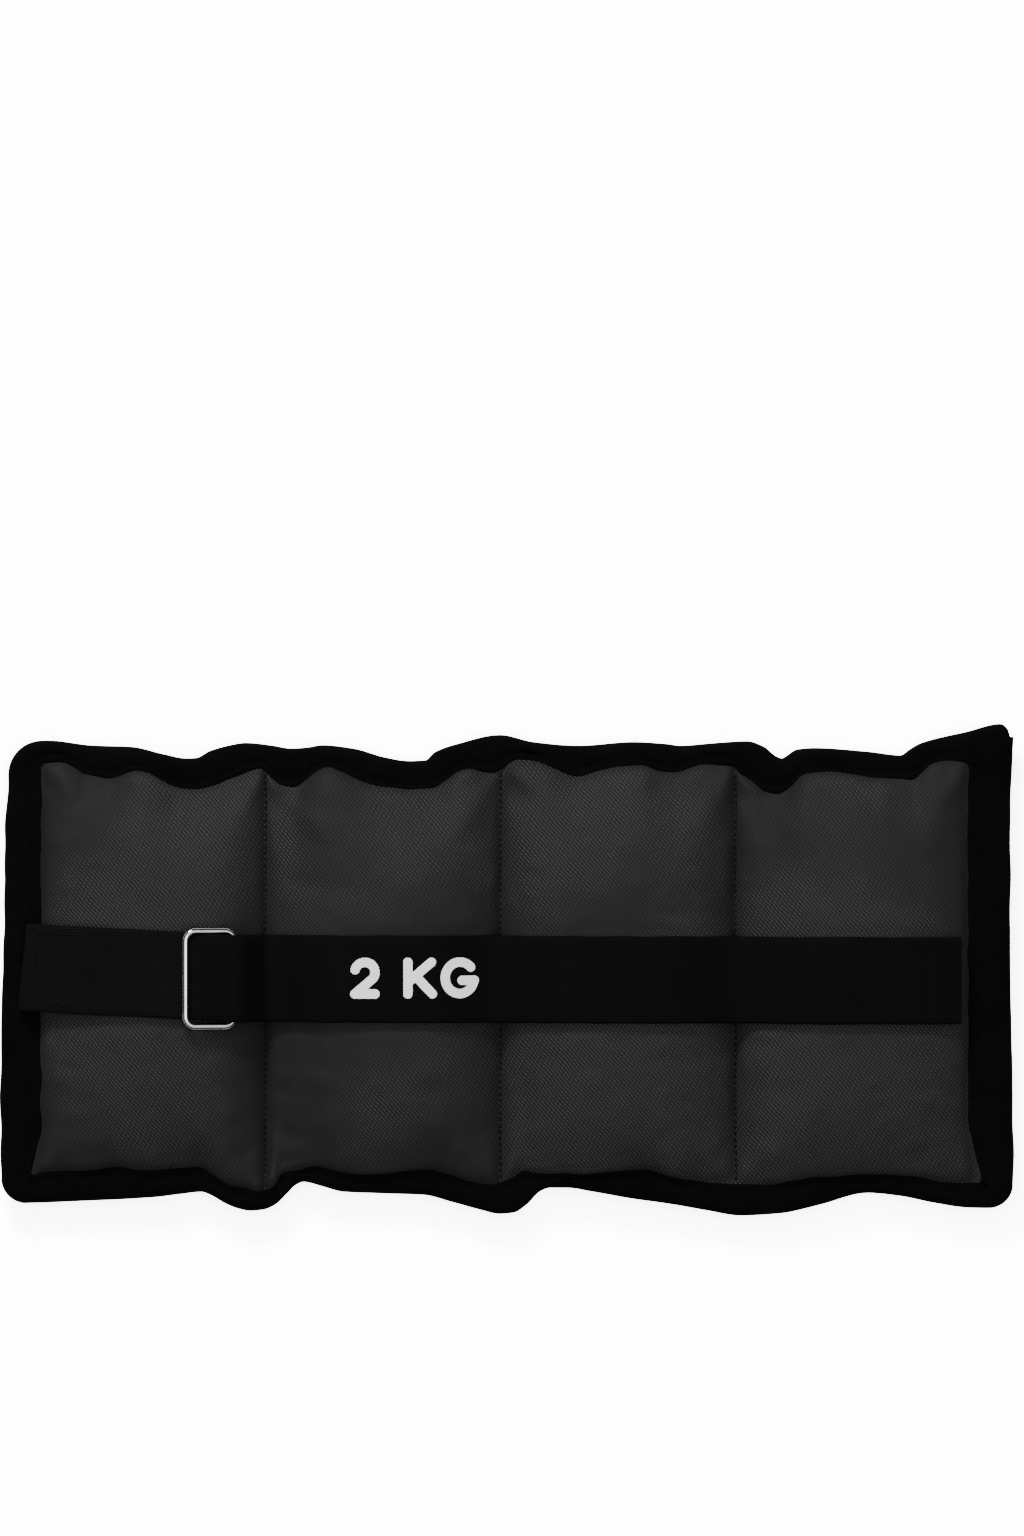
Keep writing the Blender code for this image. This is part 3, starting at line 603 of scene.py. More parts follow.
def inflate(letter, nx, ny):
    """Front panel blown up by cloth simulation from a larger flat cut; returns rows of points."""
    plan = pocket_plan(letter, nx, ny)
    left, right = POCKETS[letter]
    seed = 7.3 * (1 + "abcd".index(letter))
    start = []
    cut = []
    mid_x = 0.5 * (left + right)
    for j, row in enumerate(plan):
        for i, (x, y) in enumerate(row):
            u = i / nx
            v = j / ny
            border = i in (0, nx) or j in (0, ny)
            rough = 0.0 if border else wobble(x, y, seed, 9.0, 1.2) + wobble(x, y, seed, 22.0, 1.6)
            z = 0.0 if border else 7.0 * swell(u, v) + rough
            start.append((x, y, z))
            flat_y = CUT_LOW + CUT_SPAN * v
            cut.append((mid_x + (x - mid_x) * GATHER_X[letter], flat_y * GATHER_Y, 0.0))
    k = MM * SIM_SCALE
    mesh = bpy.data.meshes.new("sim_" + letter)
    mesh.from_pydata([(x * k, y * k, z * k) for x, y, z in start], [], grid_faces(nx, ny))
    obj = bpy.data.objects.new("sim_" + letter, mesh)
    bpy.context.collection.objects.link(obj)
    obj.shape_key_add(name="Basis")
    rest = obj.shape_key_add(name="cut")
    for point, (x, y, z) in zip(rest.data, cut):
        point.co = (x * k, y * k, z * k)
    held = [j * (nx + 1) + i for j in range(ny + 1) for i in range(nx + 1) if i in (0, nx) or j in (0, ny)]
    obj.vertex_groups.new(name="held").add(held, 1.0, "REPLACE")
    mod = obj.modifiers.new("cloth", "CLOTH")
    for key, value in CLOTH.items():
        setattr(mod.settings, key, value)
    mod.settings.rest_shape_key = rest
    mod.settings.effector_weights.gravity = 0.0
    mod.collision_settings.use_collision = False
    mod.collision_settings.use_self_collision = False
    scene = bpy.context.scene
    mod.point_cache.frame_start = 1
    mod.point_cache.frame_end = SIM_FRAMES
    for number in range(1, SIM_FRAMES + 1):
        scene.frame_set(number)
    graph = bpy.context.evaluated_depsgraph_get()
    result = obj.evaluated_get(graph).to_mesh()
    points = [(v.co.x / k, v.co.y / k, v.co.z / k) for v in result.vertices]
    bpy.data.objects.remove(obj, do_unlink=True)
    scene.frame_set(1)
    heights = np.array([p[2] for p in points]).reshape(ny + 1, nx + 1)
    folds = heights - calm(heights, CALM_PASSES)
    rows = []
    for j in range(ny + 1):
        row = []
        for i in range(nx + 1):
            x, y, z = points[j * (nx + 1) + i]
            fill = swell(i / nx, j / ny)
            slack = wobble(x, y, seed, 34.0, 1.3) * min(2.0 * fill, 1.0)
            held = i in (0, nx) or j in (0, ny)
            fold = 0.0 if held else FOLD_GAIN * folds[j, i] + creases(letter, x, y)
            row.append((x, y, FRONT_EDGE_Z + (CROWN_Z - FRONT_EDGE_Z) * fill + fold + slack))
        rows.append(row)
    return rows


BAND_LOW = -16.6
BAND_HIGH = 13.9


def sunk_under_strap(y, z):
    """The strap presses a shallow trough into the pillow."""
    edge = 5.0
    inside = eased(clamp((y - BAND_LOW + edge) / edge) * clamp((BAND_HIGH + edge - y) / edge))
    return z - 0.7 * inside * clamp((z - 12.0) / 8.0)


def back_height(letter, x, y):
    """Underside of a pocket, flat where it rests."""
    left, right = POCKETS[letter]
    near_left = x - left - (0.3 if letter != "a" else 0.0)
    near_right = right - x - (0.3 if letter != "d" else 0.0)
    low = along(INNER_BOTTOM, x)
    high = along(INNER_TOP, x)

    def ramp(d, size):
        return math.sin(0.5 * math.pi * clamp(d / size))

    full = SEAM_Z - 0.3
    across = ramp(min(y - low, high - y), 15.0)
    lengthwise = ramp(min(near_left, near_right), 14.5)
    ripple = wobble(x, y, 5.0, 11.0, 0.5) * (1.0 - across * lengthwise)
    return max(SEAM_Z - 0.2 - full * across * lengthwise + ripple, 0.02)


POCKET_TOPS = {}
FLANGE_X = 3.5
FLANGE_Y = 3.0


def build_pocket(letter):
    """One cover: swollen front, flange into the binding and flat back, as a closed form."""
    nx = 46
    ny = 80
    guard = tree_of(frame["nodes"]["inner_bag_" + letter])

    def kept_clear(x, y, z):
        """Never lower than the filling needs."""
        bag = top_of(guard, x, y)
        return z if bag is None else max(z, bag + 0.55)

    rows = [[(x, y, kept_clear(x, y, sunk_under_strap(y, z))) for x, y, z in row]
            for row in inflate(letter, nx, ny)]
    left, right = POCKETS[letter]
    verts = [point for row in rows for point in row]
    faces = grid_faces(nx, ny)
    ring = [(i, 0) for i in range(nx)] + [(nx, j) for j in range(ny)]
    ring += [(i, ny) for i in range(nx, 0, -1)] + [(0, j) for j in range(ny, 0, -1)]
    # Flange that runs on into the binding, or straight down at a divider seam.
    flange = {}
    for i, j in ring:
        x, y, z = rows[j][i]
        out_x = {("a", 0): -FLANGE_X, ("d", nx): FLANGE_X}.get((letter, i), 0.0)
        out_y = {0: -FLANGE_Y, ny: FLANGE_Y}.get(j, 0.0)
        flange[(i, j)] = len(verts)
        verts.append((x + out_x, y + out_y, SEAM_Z))
    for k, here in enumerate(ring):
        after = ring[(k + 1) % len(ring)]
        front_after, front_here = (j * (nx + 1) + i for i, j in (after, here))
        faces.append((front_after, front_here, flange[here], flange[after]))
    back = {}
    for j in range(ny + 1):
        for i in range(nx + 1):
            if (i, j) in flange:
                back[(i, j)] = flange[(i, j)]
                continue
            x = left + (right - left) * i / nx
            low = along(INNER_BOTTOM, x)
            high = along(INNER_TOP, x)
            y = low + (high - low) * j / ny
            back[(i, j)] = len(verts)
            verts.append((x, y, back_height(letter, x, y)))
    for j in range(ny):
        for i in range(nx):
            faces.append((back[(i, j)], back[(i, j + 1)], back[(i + 1, j + 1)], back[(i + 1, j)]))
    obj = make_object("pocket_cover_" + letter, verts, faces)
    subdivide(obj)
    POCKET_TOPS[letter] = tree_of(obj)
    dress(obj, TWILL, "fabric", "front_panel_" + letter, "back_panel_" + letter)
    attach(obj, BODY[letter])


for letter in "abcd":
    build_pocket(letter)
    for node, mat in (("inner_bag_", BAG), ("iron_sand_", SAND)):
        materials = frame["nodes"][node + letter].data.materials
        materials.clear()
        materials.append(mat)


def cloth_height(x, y):
    """Top of the fabric at a plan point, or the seam height."""
    return max(top_of(POCKET_TOPS[letter], x, y, SEAM_Z) for letter in "abcd")


# ---------------------------------------------------------------- binding tape
CREASE_SEED = 40.0


def tape_ring(outer, inner):
    """Closed section of the folded tape: rolled nose outside, pressed lip inside."""
    ox, oy = outer
    ix, iy = inner
    width = math.hypot(ix - ox, iy - oy)
    nx = (ix - ox) / width
    ny = (iy - oy) / width
    rise = wobble(ox, oy, 3.0, 14.0, 1.1) + wobble(ox, oy, 9.0, 5.0, 0.45)
    middle = SEAM_Z + 0.1 + 0.7 * rise
    swollen = 1.0 + 0.22 * wobble(ox, oy, 21.0, 8.0, 1.0)
    profile = [(0.0, 0.0), (0.25, 0.9), (0.9, 1.75), (2.0, 2.3), (3.6, 2.45), (0.5 * width, 2.3),
               (width - 3.6, 2.25), (width - 2.7, 1.45), (width - 1.8, 2.0), (width - 0.6, 2.1),
               (width + 0.05, 1.75), (width + 0.15, 0.9)]
    top = [(d, h * swollen) for d, h in profile]
    low = [(d, -h * swollen) for d, h in reversed(profile[1:])]
    out = []
    for d, h in top + low:
        crease = wobble(ox + nx * d * 3.0, oy + ny * d * 3.0, CREASE_SEED, 3.2, 0.16)
        out.append((ox + nx * d, oy + ny * d, middle + h + (crease if h > 0.5 else 0.0)))
    return out


def tape_piece(name, pairs, nodes):
    obj = make_object(name, *loft([tape_ring(outer, inner) for outer, inner in pairs]))
    dress(obj, TAPE, "binding", *nodes)
    return obj


def side_pairs(outer_curve, inner_curve, x0, x1):
    """Outer and inner plan points of the tape along one long side."""
    count = max(int(abs(x1 - x0) / 0.9), 4)
    pairs = []
    for k in range(count + 1):
        x = x0 + (x1 - x0) * k / count
        pairs.append(((x, along(outer_curve, x)), (x, along(inner_curve, x))))
    return pairs


def corner_pairs(centre, radius, start, inner, steps=14):
    """Quarter turn of the tape round an inner corner, anticlockwise from a start given in quarter turns."""
    pairs = []
    for k in range(1, steps):
        angle = 0.5 * math.pi * (start + k / steps)
        swing = 0.12 * (k - 0.5 * steps)
        outer = (centre[0] + radius * math.cos(angle), centre[1] + radius * math.sin(angle))
        pairs.append((outer, (inner[0] + swing * math.cos(angle + 0.5 * math.pi),
                              inner[1] + swing * math.sin(angle + 0.5 * math.pi))))
    return pairs


END_STEPS = 150


def end_pairs(edge, inner_x, spread, outer_run, inner_run, outer_waves, inner_waves):
    """Tape along one end; a run is its first and last y, and waves are what wobble takes after x and y."""
    pairs = []
    for k in range(END_STEPS + 1):
        t = k / END_STEPS
        y = outer_run[0] + (outer_run[1] - outer_run[0]) * t
        inner_y = inner_run[0] + (inner_run[1] - inner_run[0]) * t
        outer_x = along(edge, y) + wobble(0.0, y, *outer_waves)
        inner = (inner_x + wobble(0.0, y, *inner_waves) + spread * flare(inner_y), inner_y)
        pairs.append(((outer_x, y), inner))
    return pairs


def left_end_pairs():
    """Down the ring end, from the top side round both corners to the bottom side."""
    inner_x = POCKETS["a"][0]
    inner_top = along(INNER_TOP, inner_x)
    high = 12.0
    low = 9.0
    top_x = -176.7 + high
    low_x = -179.2 + low
    top_y = along(OUTER_TOP, top_x) - high
    low_y = along(OUTER_BOTTOM, low_x) - 0.1 + low
    pairs = side_pairs(OUTER_TOP, INNER_TOP, CUTS["a"], top_x)
    pairs += corner_pairs((top_x, top_y), high, 1.0, (inner_x - 0.1, inner_top - 1.2))
    inner_run = (inner_top - 2.2, along(INNER_BOTTOM, inner_x) + 1.6)
    pairs += end_pairs(LEFT_EDGE, inner_x, -LEFT_FLARE, (top_y, low_y), inner_run,
                       (2.0, 12.0, 0.5), (7.0, 9.0, 0.8))
    corner_x = inner_x - LEFT_FLARE
    pairs += corner_pairs((low_x, low_y), low, 2.0, (corner_x, along(INNER_BOTTOM, corner_x) + 0.8))
    return pairs + side_pairs(OUTER_BOTTOM, INNER_BOTTOM, low_x, CUTS["a"])[1:]


def right_end_pairs():
    """Up the plain end: one tape over the whole end, its top corner drawn out to a point."""
    inner_x = POCKETS["d"][1]
    low = 8.5
    low_x = 178.2 - low
    low_y = along(OUTER_BOTTOM, low_x) + low
    top_y = 84.0
    pairs = side_pairs(OUTER_BOTTOM, INNER_BOTTOM, CUTS["d"], low_x - 1.0)
    corner_x = inner_x + RIGHT_FLARE
    pairs += corner_pairs((low_x, low_y), low, 3.0, (corner_x, along(INNER_BOTTOM, corner_x) + 0.8))
    inner_run = (along(INNER_BOTTOM, inner_x) + 1.6, top_y)
    return pairs + end_pairs(RIGHT_EDGE, inner_x, RIGHT_FLARE, (low_y, top_y), inner_run,
                             (14.0, 14.0, 0.5), (17.0, 9.0, 0.9))


left_end = tape_piece("binding_ring_end", left_end_pairs(), ["binding_left"])
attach(left_end, "pocket_a")
right_end = tape_piece("binding_plain_end", right_end_pairs(), ["binding_right"])
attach(right_end, "pocket_d")

JOINTS = [("ab", "a", "b", SEAM_AB), ("bc", "b", "c", SEAM_BC), ("cd", "c", "d", SEAM_CD)]


def blend_seam(obj, first, second, seam):
    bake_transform(obj)


TOP_TIP = 177.3
for name, first, second, seam in JOINTS:
    # The top tape runs on over the plain end as a folded tip.
    top_to = TOP_TIP if name == "cd" else CUTS[second]
    covered = "ab" if name == "ab" else second
    for side, outer, inner, to in (("top", OUTER_TOP, INNER_TOP, top_to),
                                   ("bottom", OUTER_BOTTOM, INNER_BOTTOM, CUTS[second])):
        nodes = ["binding_" + side + "_" + letter for letter in covered]
        piece = tape_piece("binding_" + side + "_" + name, side_pairs(outer, inner, CUTS[first], to), nodes)
        blend_seam(piece, first, second, seam)


# ---------------------------------------------------------------- divider seam stitches
STITCH_SIDES = 6
# Place along a stitch, its thickness and its rise there, as shares of its length and radius.
STITCH_BOW = ((0.0, 0.35, -0.35), (0.12, 0.85, -0.1), (0.5, 1.0, 0.12), (0.88, 0.85, -0.1),
              (1.0, 0.35, -0.35))


def sew(verts, faces, start, end, radius):
    """Add one short stitch, dipping at both ends, to a mesh in the making."""
    a = Vector(start)
    b = Vector(end)
    axis = (b - a).normalized()
    side = axis.cross(Vector((0.0, 0.0, 1.0))).normalized()
    up = side.cross(axis)
    turns = [2 * math.pi * s / STITCH_SIDES for s in range(STITCH_SIDES)]
    rings = []
    for t, r, h in STITCH_BOW:
        centre = a.lerp(b, t) + up * h * radius
        rings.append([tuple(centre + radius * r * (math.cos(turn) * side + math.sin(turn) * up))
                      for turn in turns])
    stitch_verts, stitch_faces = loft(rings)
    base = len(verts)
    verts += stitch_verts
    faces += [tuple(base + i for i in face) for face in stitch_faces]


def welt_mesh(name, points, half):
    """Strip of cover fabric that the stitches press down between two pockets."""
    (x0, y0, z0), (x1, y1, z1) = points[0], points[-1]
    seam = [(x0, y0 - 2.4, z0), *points, (x1, y1 + 2.4, z1)]
    section = ((-half, -1.6), (-half, -0.75), (-0.4, -0.45), (0.4, -0.45), (half, -0.75), (half, -1.6))
    return make_object(name, *loft([[(x + dx, y, z + dz) for dx, dz in section] for x, y, z in seam]))


def stitch_mesh(name, points, length, gap, radius):
    """Row of separate stitches along a line of points."""
    verts = []
    faces = []
    run = 0.0
    pos = [0.0]
    for p, q in zip(points, points[1:]):
        run += (Vector(q) - Vector(p)).length
        pos.append(run)

    def at(s):
        for k in range(len(points) - 1):
            if s <= pos[k + 1]:
                t = (s - pos[k]) / max(pos[k + 1] - pos[k], 1e-9)
                return Vector(points[k]).lerp(Vector(points[k + 1]), t)
        return Vector(points[-1])

    s = 0.4
    while s + length < run:
        sew(verts, faces, at(s), at(s + length), radius)
        s += length + gap
    return make_object(name, verts, faces)


for name, first, second, seam in JOINTS:
    low = along(INNER_BOTTOM, seam) + 1.0
    high = along(INNER_TOP, seam) - 1.0
    line = []
    for k in range(60):
        y = low + (high - low) * k / 59
        line.append((seam + 0.25 + wobble(0.0, y, 31.0, 16.0, 0.35), y, FRONT_EDGE_Z + 0.55))
    seam_thread = stitch_mesh("divider_stitches_" + name, line, 1.6, 0.65, 0.36)
    dress(seam_thread, THREAD, "thread", "seam_thread_" + name)
    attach(seam_thread, BODY[second])
    welt = welt_mesh("divider_welt_" + name, line, 1.1)
    dress(welt, TWILL, "fabric")
    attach(welt, BODY[second])


# ---------------------------------------------------------------- strap
STRAP_W = 30.6
STRAP_T = 1.35


def strap_y(x):
    """Centre line of the strap, which runs a little askew and turns slightly at the ring's two legs."""
    if x > LEG_RIGHT:
        return -0.9 - 0.9 * (x - LEG_RIGHT) / (STRAP_END - LEG_RIGHT)
    if x > LEG_LEFT:
        return -0.9 + 1.1 * (LEG_RIGHT - x) / (LEG_RIGHT - LEG_LEFT)
    return 0.2 + 2.7 * (LEG_LEFT - x) / (LEG_LEFT - TAIL_END)


SEAM_DIP = 15.6
PRESSED_IN = 0.35
PATH_STEP = 1.0


def strap_line():
    """Height of the sewn strap's underside from just before seam A-B to the plain end."""
    xs = []
    floor = []
    x = SEAM_AB - 6.0
    while x <= STRAP_END + 0.01:
        xs.append(x)
        centre = strap_y(x)
        floor.append(max(cloth_height(x, centre + off) for off in (-13.5, -9.0, -4.5, 0.0, 4.5, 9.0, 13.5)))
        x += PATH_STEP
    xs = np.array(xs)
    floor = np.array(floor) - PRESSED_IN
    height = np.maximum(floor, SEAM_DIP)
    for _ in range(24):
        mean = 0.5 * (height[:-2] + height[2:])
        height[1:-1] = np.maximum(floor[1:-1], 0.35 * height[1:-1] + 0.65 * mean)
    return xs, height


STRAP_X, STRAP_Z = strap_line()


def strap_under(x):
    return float(np.interp(x, STRAP_X, STRAP_Z))


ACROSS = (1.0, 0.985, 0.93, 0.8, 0.6, 0.3, 0.0, -0.3, -0.6, -0.8, -0.93, -0.985, -1.0)
RISE = (0.5, 0.86, 1.0, 1.02, 1.0, 1.0, 1.0, 1.0, 1.0, 1.02, 1.0, 0.86, 0.5)


def band_ring(x, y, z, tx, tz, width, thick, seed):
    """Rounded strap section square to the line's direction."""
    half = 0.5 * width
    edge = wobble(x, 0.0, seed, 9.0, 0.22)
    edge_low = wobble(x, 3.0, seed + 5.0, 9.0, 0.22)
    section = [(a, r * thick) for a, r in zip(ACROSS, RISE)]
    section += [(a, (1.0 - r) * thick) for a, r in list(zip(ACROSS, RISE))[-2:0:-1]]
    ring = []
    for a, lift in section:
        dy = a * half + (edge if a > 0 else edge_low) * abs(a)
        lift += wobble(x, dy, seed + 2.0, 13.0, 0.18)
        ring.append((x - tz * lift, y + dy, z + tx * lift))
    return ring


def band_mesh(name, line, width, thick, seed, centre=strap_y, slant=0.0):
    """Strap along (x, z) points of its underside."""
    rings = []
    count = len(line)
    for k, (x, z) in enumerate(line):
        ax, az = line[max(k - 1, 0)]
        bx, bz = line[min(k + 1, count - 1)]
        size = math.hypot(bx - ax, bz - az)
        ring = band_ring(x, centre(x), z, (bx - ax) / size, (bz - az) / size, width, thick, seed)
        if slant:
            share = max(1.0 - k / 30.0, 0.0)
            ring = [(px + slant * share * ((py - centre(x)) / width - 0.25), py, pz) for px, py, pz in ring]
        rings.append(ring)
    return make_object(name, *loft(rings))


def line_between(x0, x1, rule, step=1.0):
    count = max(int(abs(x1 - x0) / step), 3)
    return [(x0 + (x1 - x0) * k / count, rule(x0 + (x1 - x0) * k / count)) for k in range(count + 1)]


def free_under(x):
    near = max(strap_under(x - 1.0), strap_under(x), strap_under(x + 1.0))
    return near + STRAP_T + 0.25


# Sewn layer: a turn round the ring's right leg, then over seam A-B and on along the pockets.
LOOP_IN = WIRE_R + 0.25
LOOP_OUT = LOOP_IN + STRAP_T


def loop_over(x):
    """Underside of the sewn layer between the strap line and the ring."""
    t = (SEAM_AB + 1.0 - x) / (SEAM_AB + 1.0 - LEG_RIGHT)
    return mixed(strap_under(max(x, SEAM_AB)), LEG_RIGHT_Z + LOOP_IN, t)


def loop_line():
    """Underside of the sewn layer round the ring's right leg and on to its first cut."""
    line = []
    for k in range(4):
        t = k / 3.0
        line.append((LEG_RIGHT + 7.0 - 7.0 * t, LEG_RIGHT_Z - LOOP_IN - 2.2 * (1.0 - t) ** 2))
    for k in range(1, 16):
        angle = -0.5 * math.pi - math.pi * k / 16
        line.append((LEG_RIGHT + LOOP_IN * math.cos(angle), LEG_RIGHT_Z + LOOP_IN * math.sin(angle)))
    x = LEG_RIGHT
    while x < CUTS["b"]:
        line.append((x, loop_over(x)))
        x += PATH_STEP
    line.append((CUTS["b"], strap_under(CUTS["b"])))
    return line


def strap_piece(name, line, width, seed, nodes):
    """One length of webbing."""
    obj = band_mesh(name, line, width, STRAP_T, seed)
    dress(obj, WEBBING, "webbing", *nodes)
    return obj


CUT_B = CUTS["b"]
CUT_C = CUTS["c"]
SEWN_SEED = 50.0
for name, line, nodes, joint in (
        ("ab", loop_line(), ["ring_loop", "base_strap_b"], ("a", "b", SEAM_AB)),
        ("bc", line_between(CUT_B, CUT_C, strap_under), ["base_strap_c"], ("b", "c", SEAM_BC)),
        ("cd", line_between(CUT_C, STRAP_END - 1.4, strap_under), ["base_strap_d", "strap_end_fold"],
         ("c", "d", SEAM_CD))):
    blend_seam(strap_piece("sewn_strap_" + name, line, STRAP_W, SEWN_SEED, nodes), *joint)

# Returned layer on top.
FREE_W = 30.5
OVER_RING = LEG_RIGHT_Z + LOOP_OUT + 0.2
UNDER_RING = LEG_LEFT_Z - WIRE_R - 0.15 - STRAP_T


def free_line(x):
    """Underside of the returned layer from the ring to the plain end."""
    if x >= SEAM_AB + 2.0:
        return free_under(x)
    if x >= LEG_RIGHT:
        t = (SEAM_AB + 2.0 - x) / (SEAM_AB + 2.0 - LEG_RIGHT)
        return max(mixed(free_under(SEAM_AB + 2.0), OVER_RING, t), loop_over(x) + STRAP_T + 0.2)
    return mixed(OVER_RING, UNDER_RING, (LEG_RIGHT - x) / (LEG_RIGHT - LEG_LEFT))


RING_SPLIT = SEAM_AB - 0.6
FREE_SEED = 70.0
free_pieces = []
for name, line, nodes, joint in (
        ("cd", line_between(CUT_C, STRAP_END - 0.9, free_line), ["free_strap_d"], ("c", "d", SEAM_CD)),
        ("bc", line_between(CUT_B, CUT_C, free_line), ["free_strap_c"], ("b", "c", SEAM_BC)),
        ("ab", line_between(RING_SPLIT, CUT_B, free_line, 0.8), ["free_strap_b"], ("a", "b", SEAM_AB))):
    free_pieces.append(strap_piece("free_strap_" + name, line, FREE_W, FREE_SEED, nodes))
    blend_seam(free_pieces[-1], *joint)
ring_line = line_between(LEG_LEFT + 1.0, RING_SPLIT, free_line, 0.8)
free_ring = strap_piece("free_strap_ring", ring_line, FREE_W, FREE_SEED, ["free_strap_a", "strap_bridge"])
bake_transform(free_ring)

FREE_TREE = tree_of(*free_pieces)


# ---------------------------------------------------------------- tail
def tail_under(x):
    """Underside of the tail, lying down the outer half of pocket A."""
    centre = strap_y(x)
    top = max(cloth_height(x + dx, centre + off) for off in (-13.0, 0.0, 13.0) for dx in (-2.5, 0.0, 2.5))
    room = mixed(0.5, 1.7, (HOOK_TO + 6.0 - x) / 8.0)
    return max(top + room, SEAM_Z + 4.6)


HOOK_FROM, HOOK_TO = (corner[0] for corner in node_box("hook_patch"))


def tail_points():
    """Underside of the tail as (x, z) points, drawn taut over the cover and led up to the ring."""
    xs = np.linspace(TAIL_END, LEG_LEFT + 1.0, 60)
    zs = np.array([tail_under(x) for x in xs])
    floor = zs.copy()
    for _ in range(30):
        mean = 0.5 * (zs[:-2] + zs[2:])
        zs[1:-1] = np.maximum(floor[1:-1], mean)
    out = []
    for x, z in zip(xs, zs):
        t = (x - (LEG_LEFT - 9.0)) / 9.0
        out.append((float(x), float(mixed(z, UNDER_RING, t))))
    return out


TAIL_LINE = tail_points()
tail = band_mesh("strap_tail_web", TAIL_LINE, FREE_W + 0.3, STRAP_T, 90.0, slant=3.2)
dress(tail, TAIL_WEB, "webbing", "strap_tail")
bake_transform(tail)

TAIL_XS, TAIL_ZS = zip(*TAIL_LINE)


def tail_at(x):
    return float(np.interp(x, TAIL_XS, TAIL_ZS))


HOOK_T = 1.05
hook_line = line_between(HOOK_FROM, HOOK_TO, lambda x: tail_at(x) - 1.15)
hook = band_mesh("hook_patch_pad", hook_line, FREE_W - 2.4, HOOK_T, 95.0)
dress(hook, HOOK, "hook", "hook_patch")
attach(hook, "tail")


def surface_stitches(name, corners, tree, lift, length=2.3, gap=0.7, radius=0.26):
    """Stitches along straight plan lines, laid on a strap's top."""
    verts = []
    faces = []
    for (x0, y0), (x1, y1) in zip(corners, corners[1:]):
        run = math.hypot(x1 - x0, y1 - y0)
        s = 0.2
        while s + length < run:
            ends = []
            for q in (s, s + length):
                t = q / run
                x = x0 + (x1 - x0) * t
                y = y0 + (y1 - y0) * t
                ends.append((x, y, top_of(tree, x, y, SEAM_Z) + lift))
            sew(verts, faces, *ends, radius)
            s += length + gap
    return make_object(name, verts, faces)


# First and last x and half the width of the two stitched boxes.
TAIL_BOX = (-167.0, -149.0, 12.4)
END_BOX = (147.5, 156.6, 12.6)


def box_corners(x0, x1, half):
    """Plan corners of a stitched box on the strap, back to the first."""
    corners = ((x0, -half), (x1, -half), (x1, half), (x0, half), (x0, -half))
    return [(x, strap_y(x) + side) for x, side in corners]


tail_stitches = surface_stitches("tail_box_stitches", box_corners(*TAIL_BOX), tree_of(tail), 0.12)
dress(tail_stitches, THREAD_GREY, "thread", "tail_stitch")
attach(tail_stitches, "tail")

end_stitches = surface_stitches("end_box_stitches", box_corners(*END_BOX), FREE_TREE, 0.10)
dress(end_stitches, THREAD, "thread", "end_stitch")
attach(end_stitches, "pocket_d")


# ---------------------------------------------------------------- wire ring
def ring_mesh():
    """Round wire bent to a rectangle, tilted between its two long legs."""
    tilt = math.atan2(LEG_LEFT_Z - LEG_RIGHT_Z, LEG_RIGHT - LEG_LEFT)
    length = math.hypot(LEG_LEFT_Z - LEG_RIGHT_Z, LEG_RIGHT - LEG_LEFT) - 0.7
    half = 0.5 * (RING_HIGH[1] - RING_LOW[1]) - WIRE_R
    corner = 3.5
    path = []
    for cx, cy, start in ((length - corner, half - corner, 0.5), (corner, half - corner, 1.0),
                          (corner, -half + corner, 1.5), (length - corner, -half + corner, 2.0)):
        for k in range(9):
            angle = math.pi * (start - 0.5 + 0.5 * k / 8)
            path.append((cx + corner * math.cos(angle), cy + corner * math.sin(angle)))
    dense = dense_points(path + path[:1], 1.2)[:-1]
    rings = []
    count = len(dense)
    for k in range(count):
        a0, b0 = dense[k - 1]
        a1, b1 = dense[(k + 1) % count]
        size = math.hypot(a1 - a0, b1 - b0)
        ta = (a1 - a0) / size
        tb = (b1 - b0) / size
        here_a, here_b = dense[k]
        # A slight swelling where the wire's two ends are welded together.
        weld = math.exp(-((here_b + 4.0) / 0.9) ** 2) if here_a < 1.0 else 0.0
        radius = WIRE_R * (1.0 + 0.10 * weld)
        ring = []
        for s in range(16):
            angle = 2.0 * math.pi * s / 16
            off_plane = radius * math.sin(angle)
            off_side = radius * math.cos(angle)
            pa = here_a + off_side * tb
            pb = here_b - off_side * ta
            x = LEG_RIGHT - pa * math.cos(tilt) + off_plane * math.sin(tilt)
            z = LEG_RIGHT_Z + pa * math.sin(tilt) + off_plane * math.cos(tilt)
            ring.append((x, pb + RING_MID_Y - Y0, z))
        rings.append(ring)
    return loft(rings, closed_path=True)


ring = make_object("wire_ring", *ring_mesh())
dress(ring, CHROME, "chrome", "ring")
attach(ring, "ring_frame")


# ---------------------------------------------------------------- weight mark
STROKE = 3.3
CAP = 14.4


def arc(cx, cy, rx, ry, a0, a1, count=18):
    return [(cx + rx * math.cos(math.radians(a0 + (a1 - a0) * k / count)),
             cy + ry * math.sin(math.radians(a0 + (a1 - a0) * k / count))) for k in range(count + 1)]


def glyph_two(w, h):
    r = 0.5 * w
    return [arc(r, h - r, r, r, 165, -35) + [(0.0, 0.0), (w, 0.0)]]


def glyph_k(w, h):
    return [[(0.0, 0.0), (0.0, h)], [(w * 0.96, h), (0.0, 0.36 * h)], [(0.32 * w, 0.56 * h), (w, 0.0)]]


def glyph_g(w, h):
    return [arc(0.5 * w, 0.5 * h, 0.5 * w, 0.5 * h, 42, 325, 30) + [(w, 0.42 * h), (0.58 * w, 0.42 * h)]]


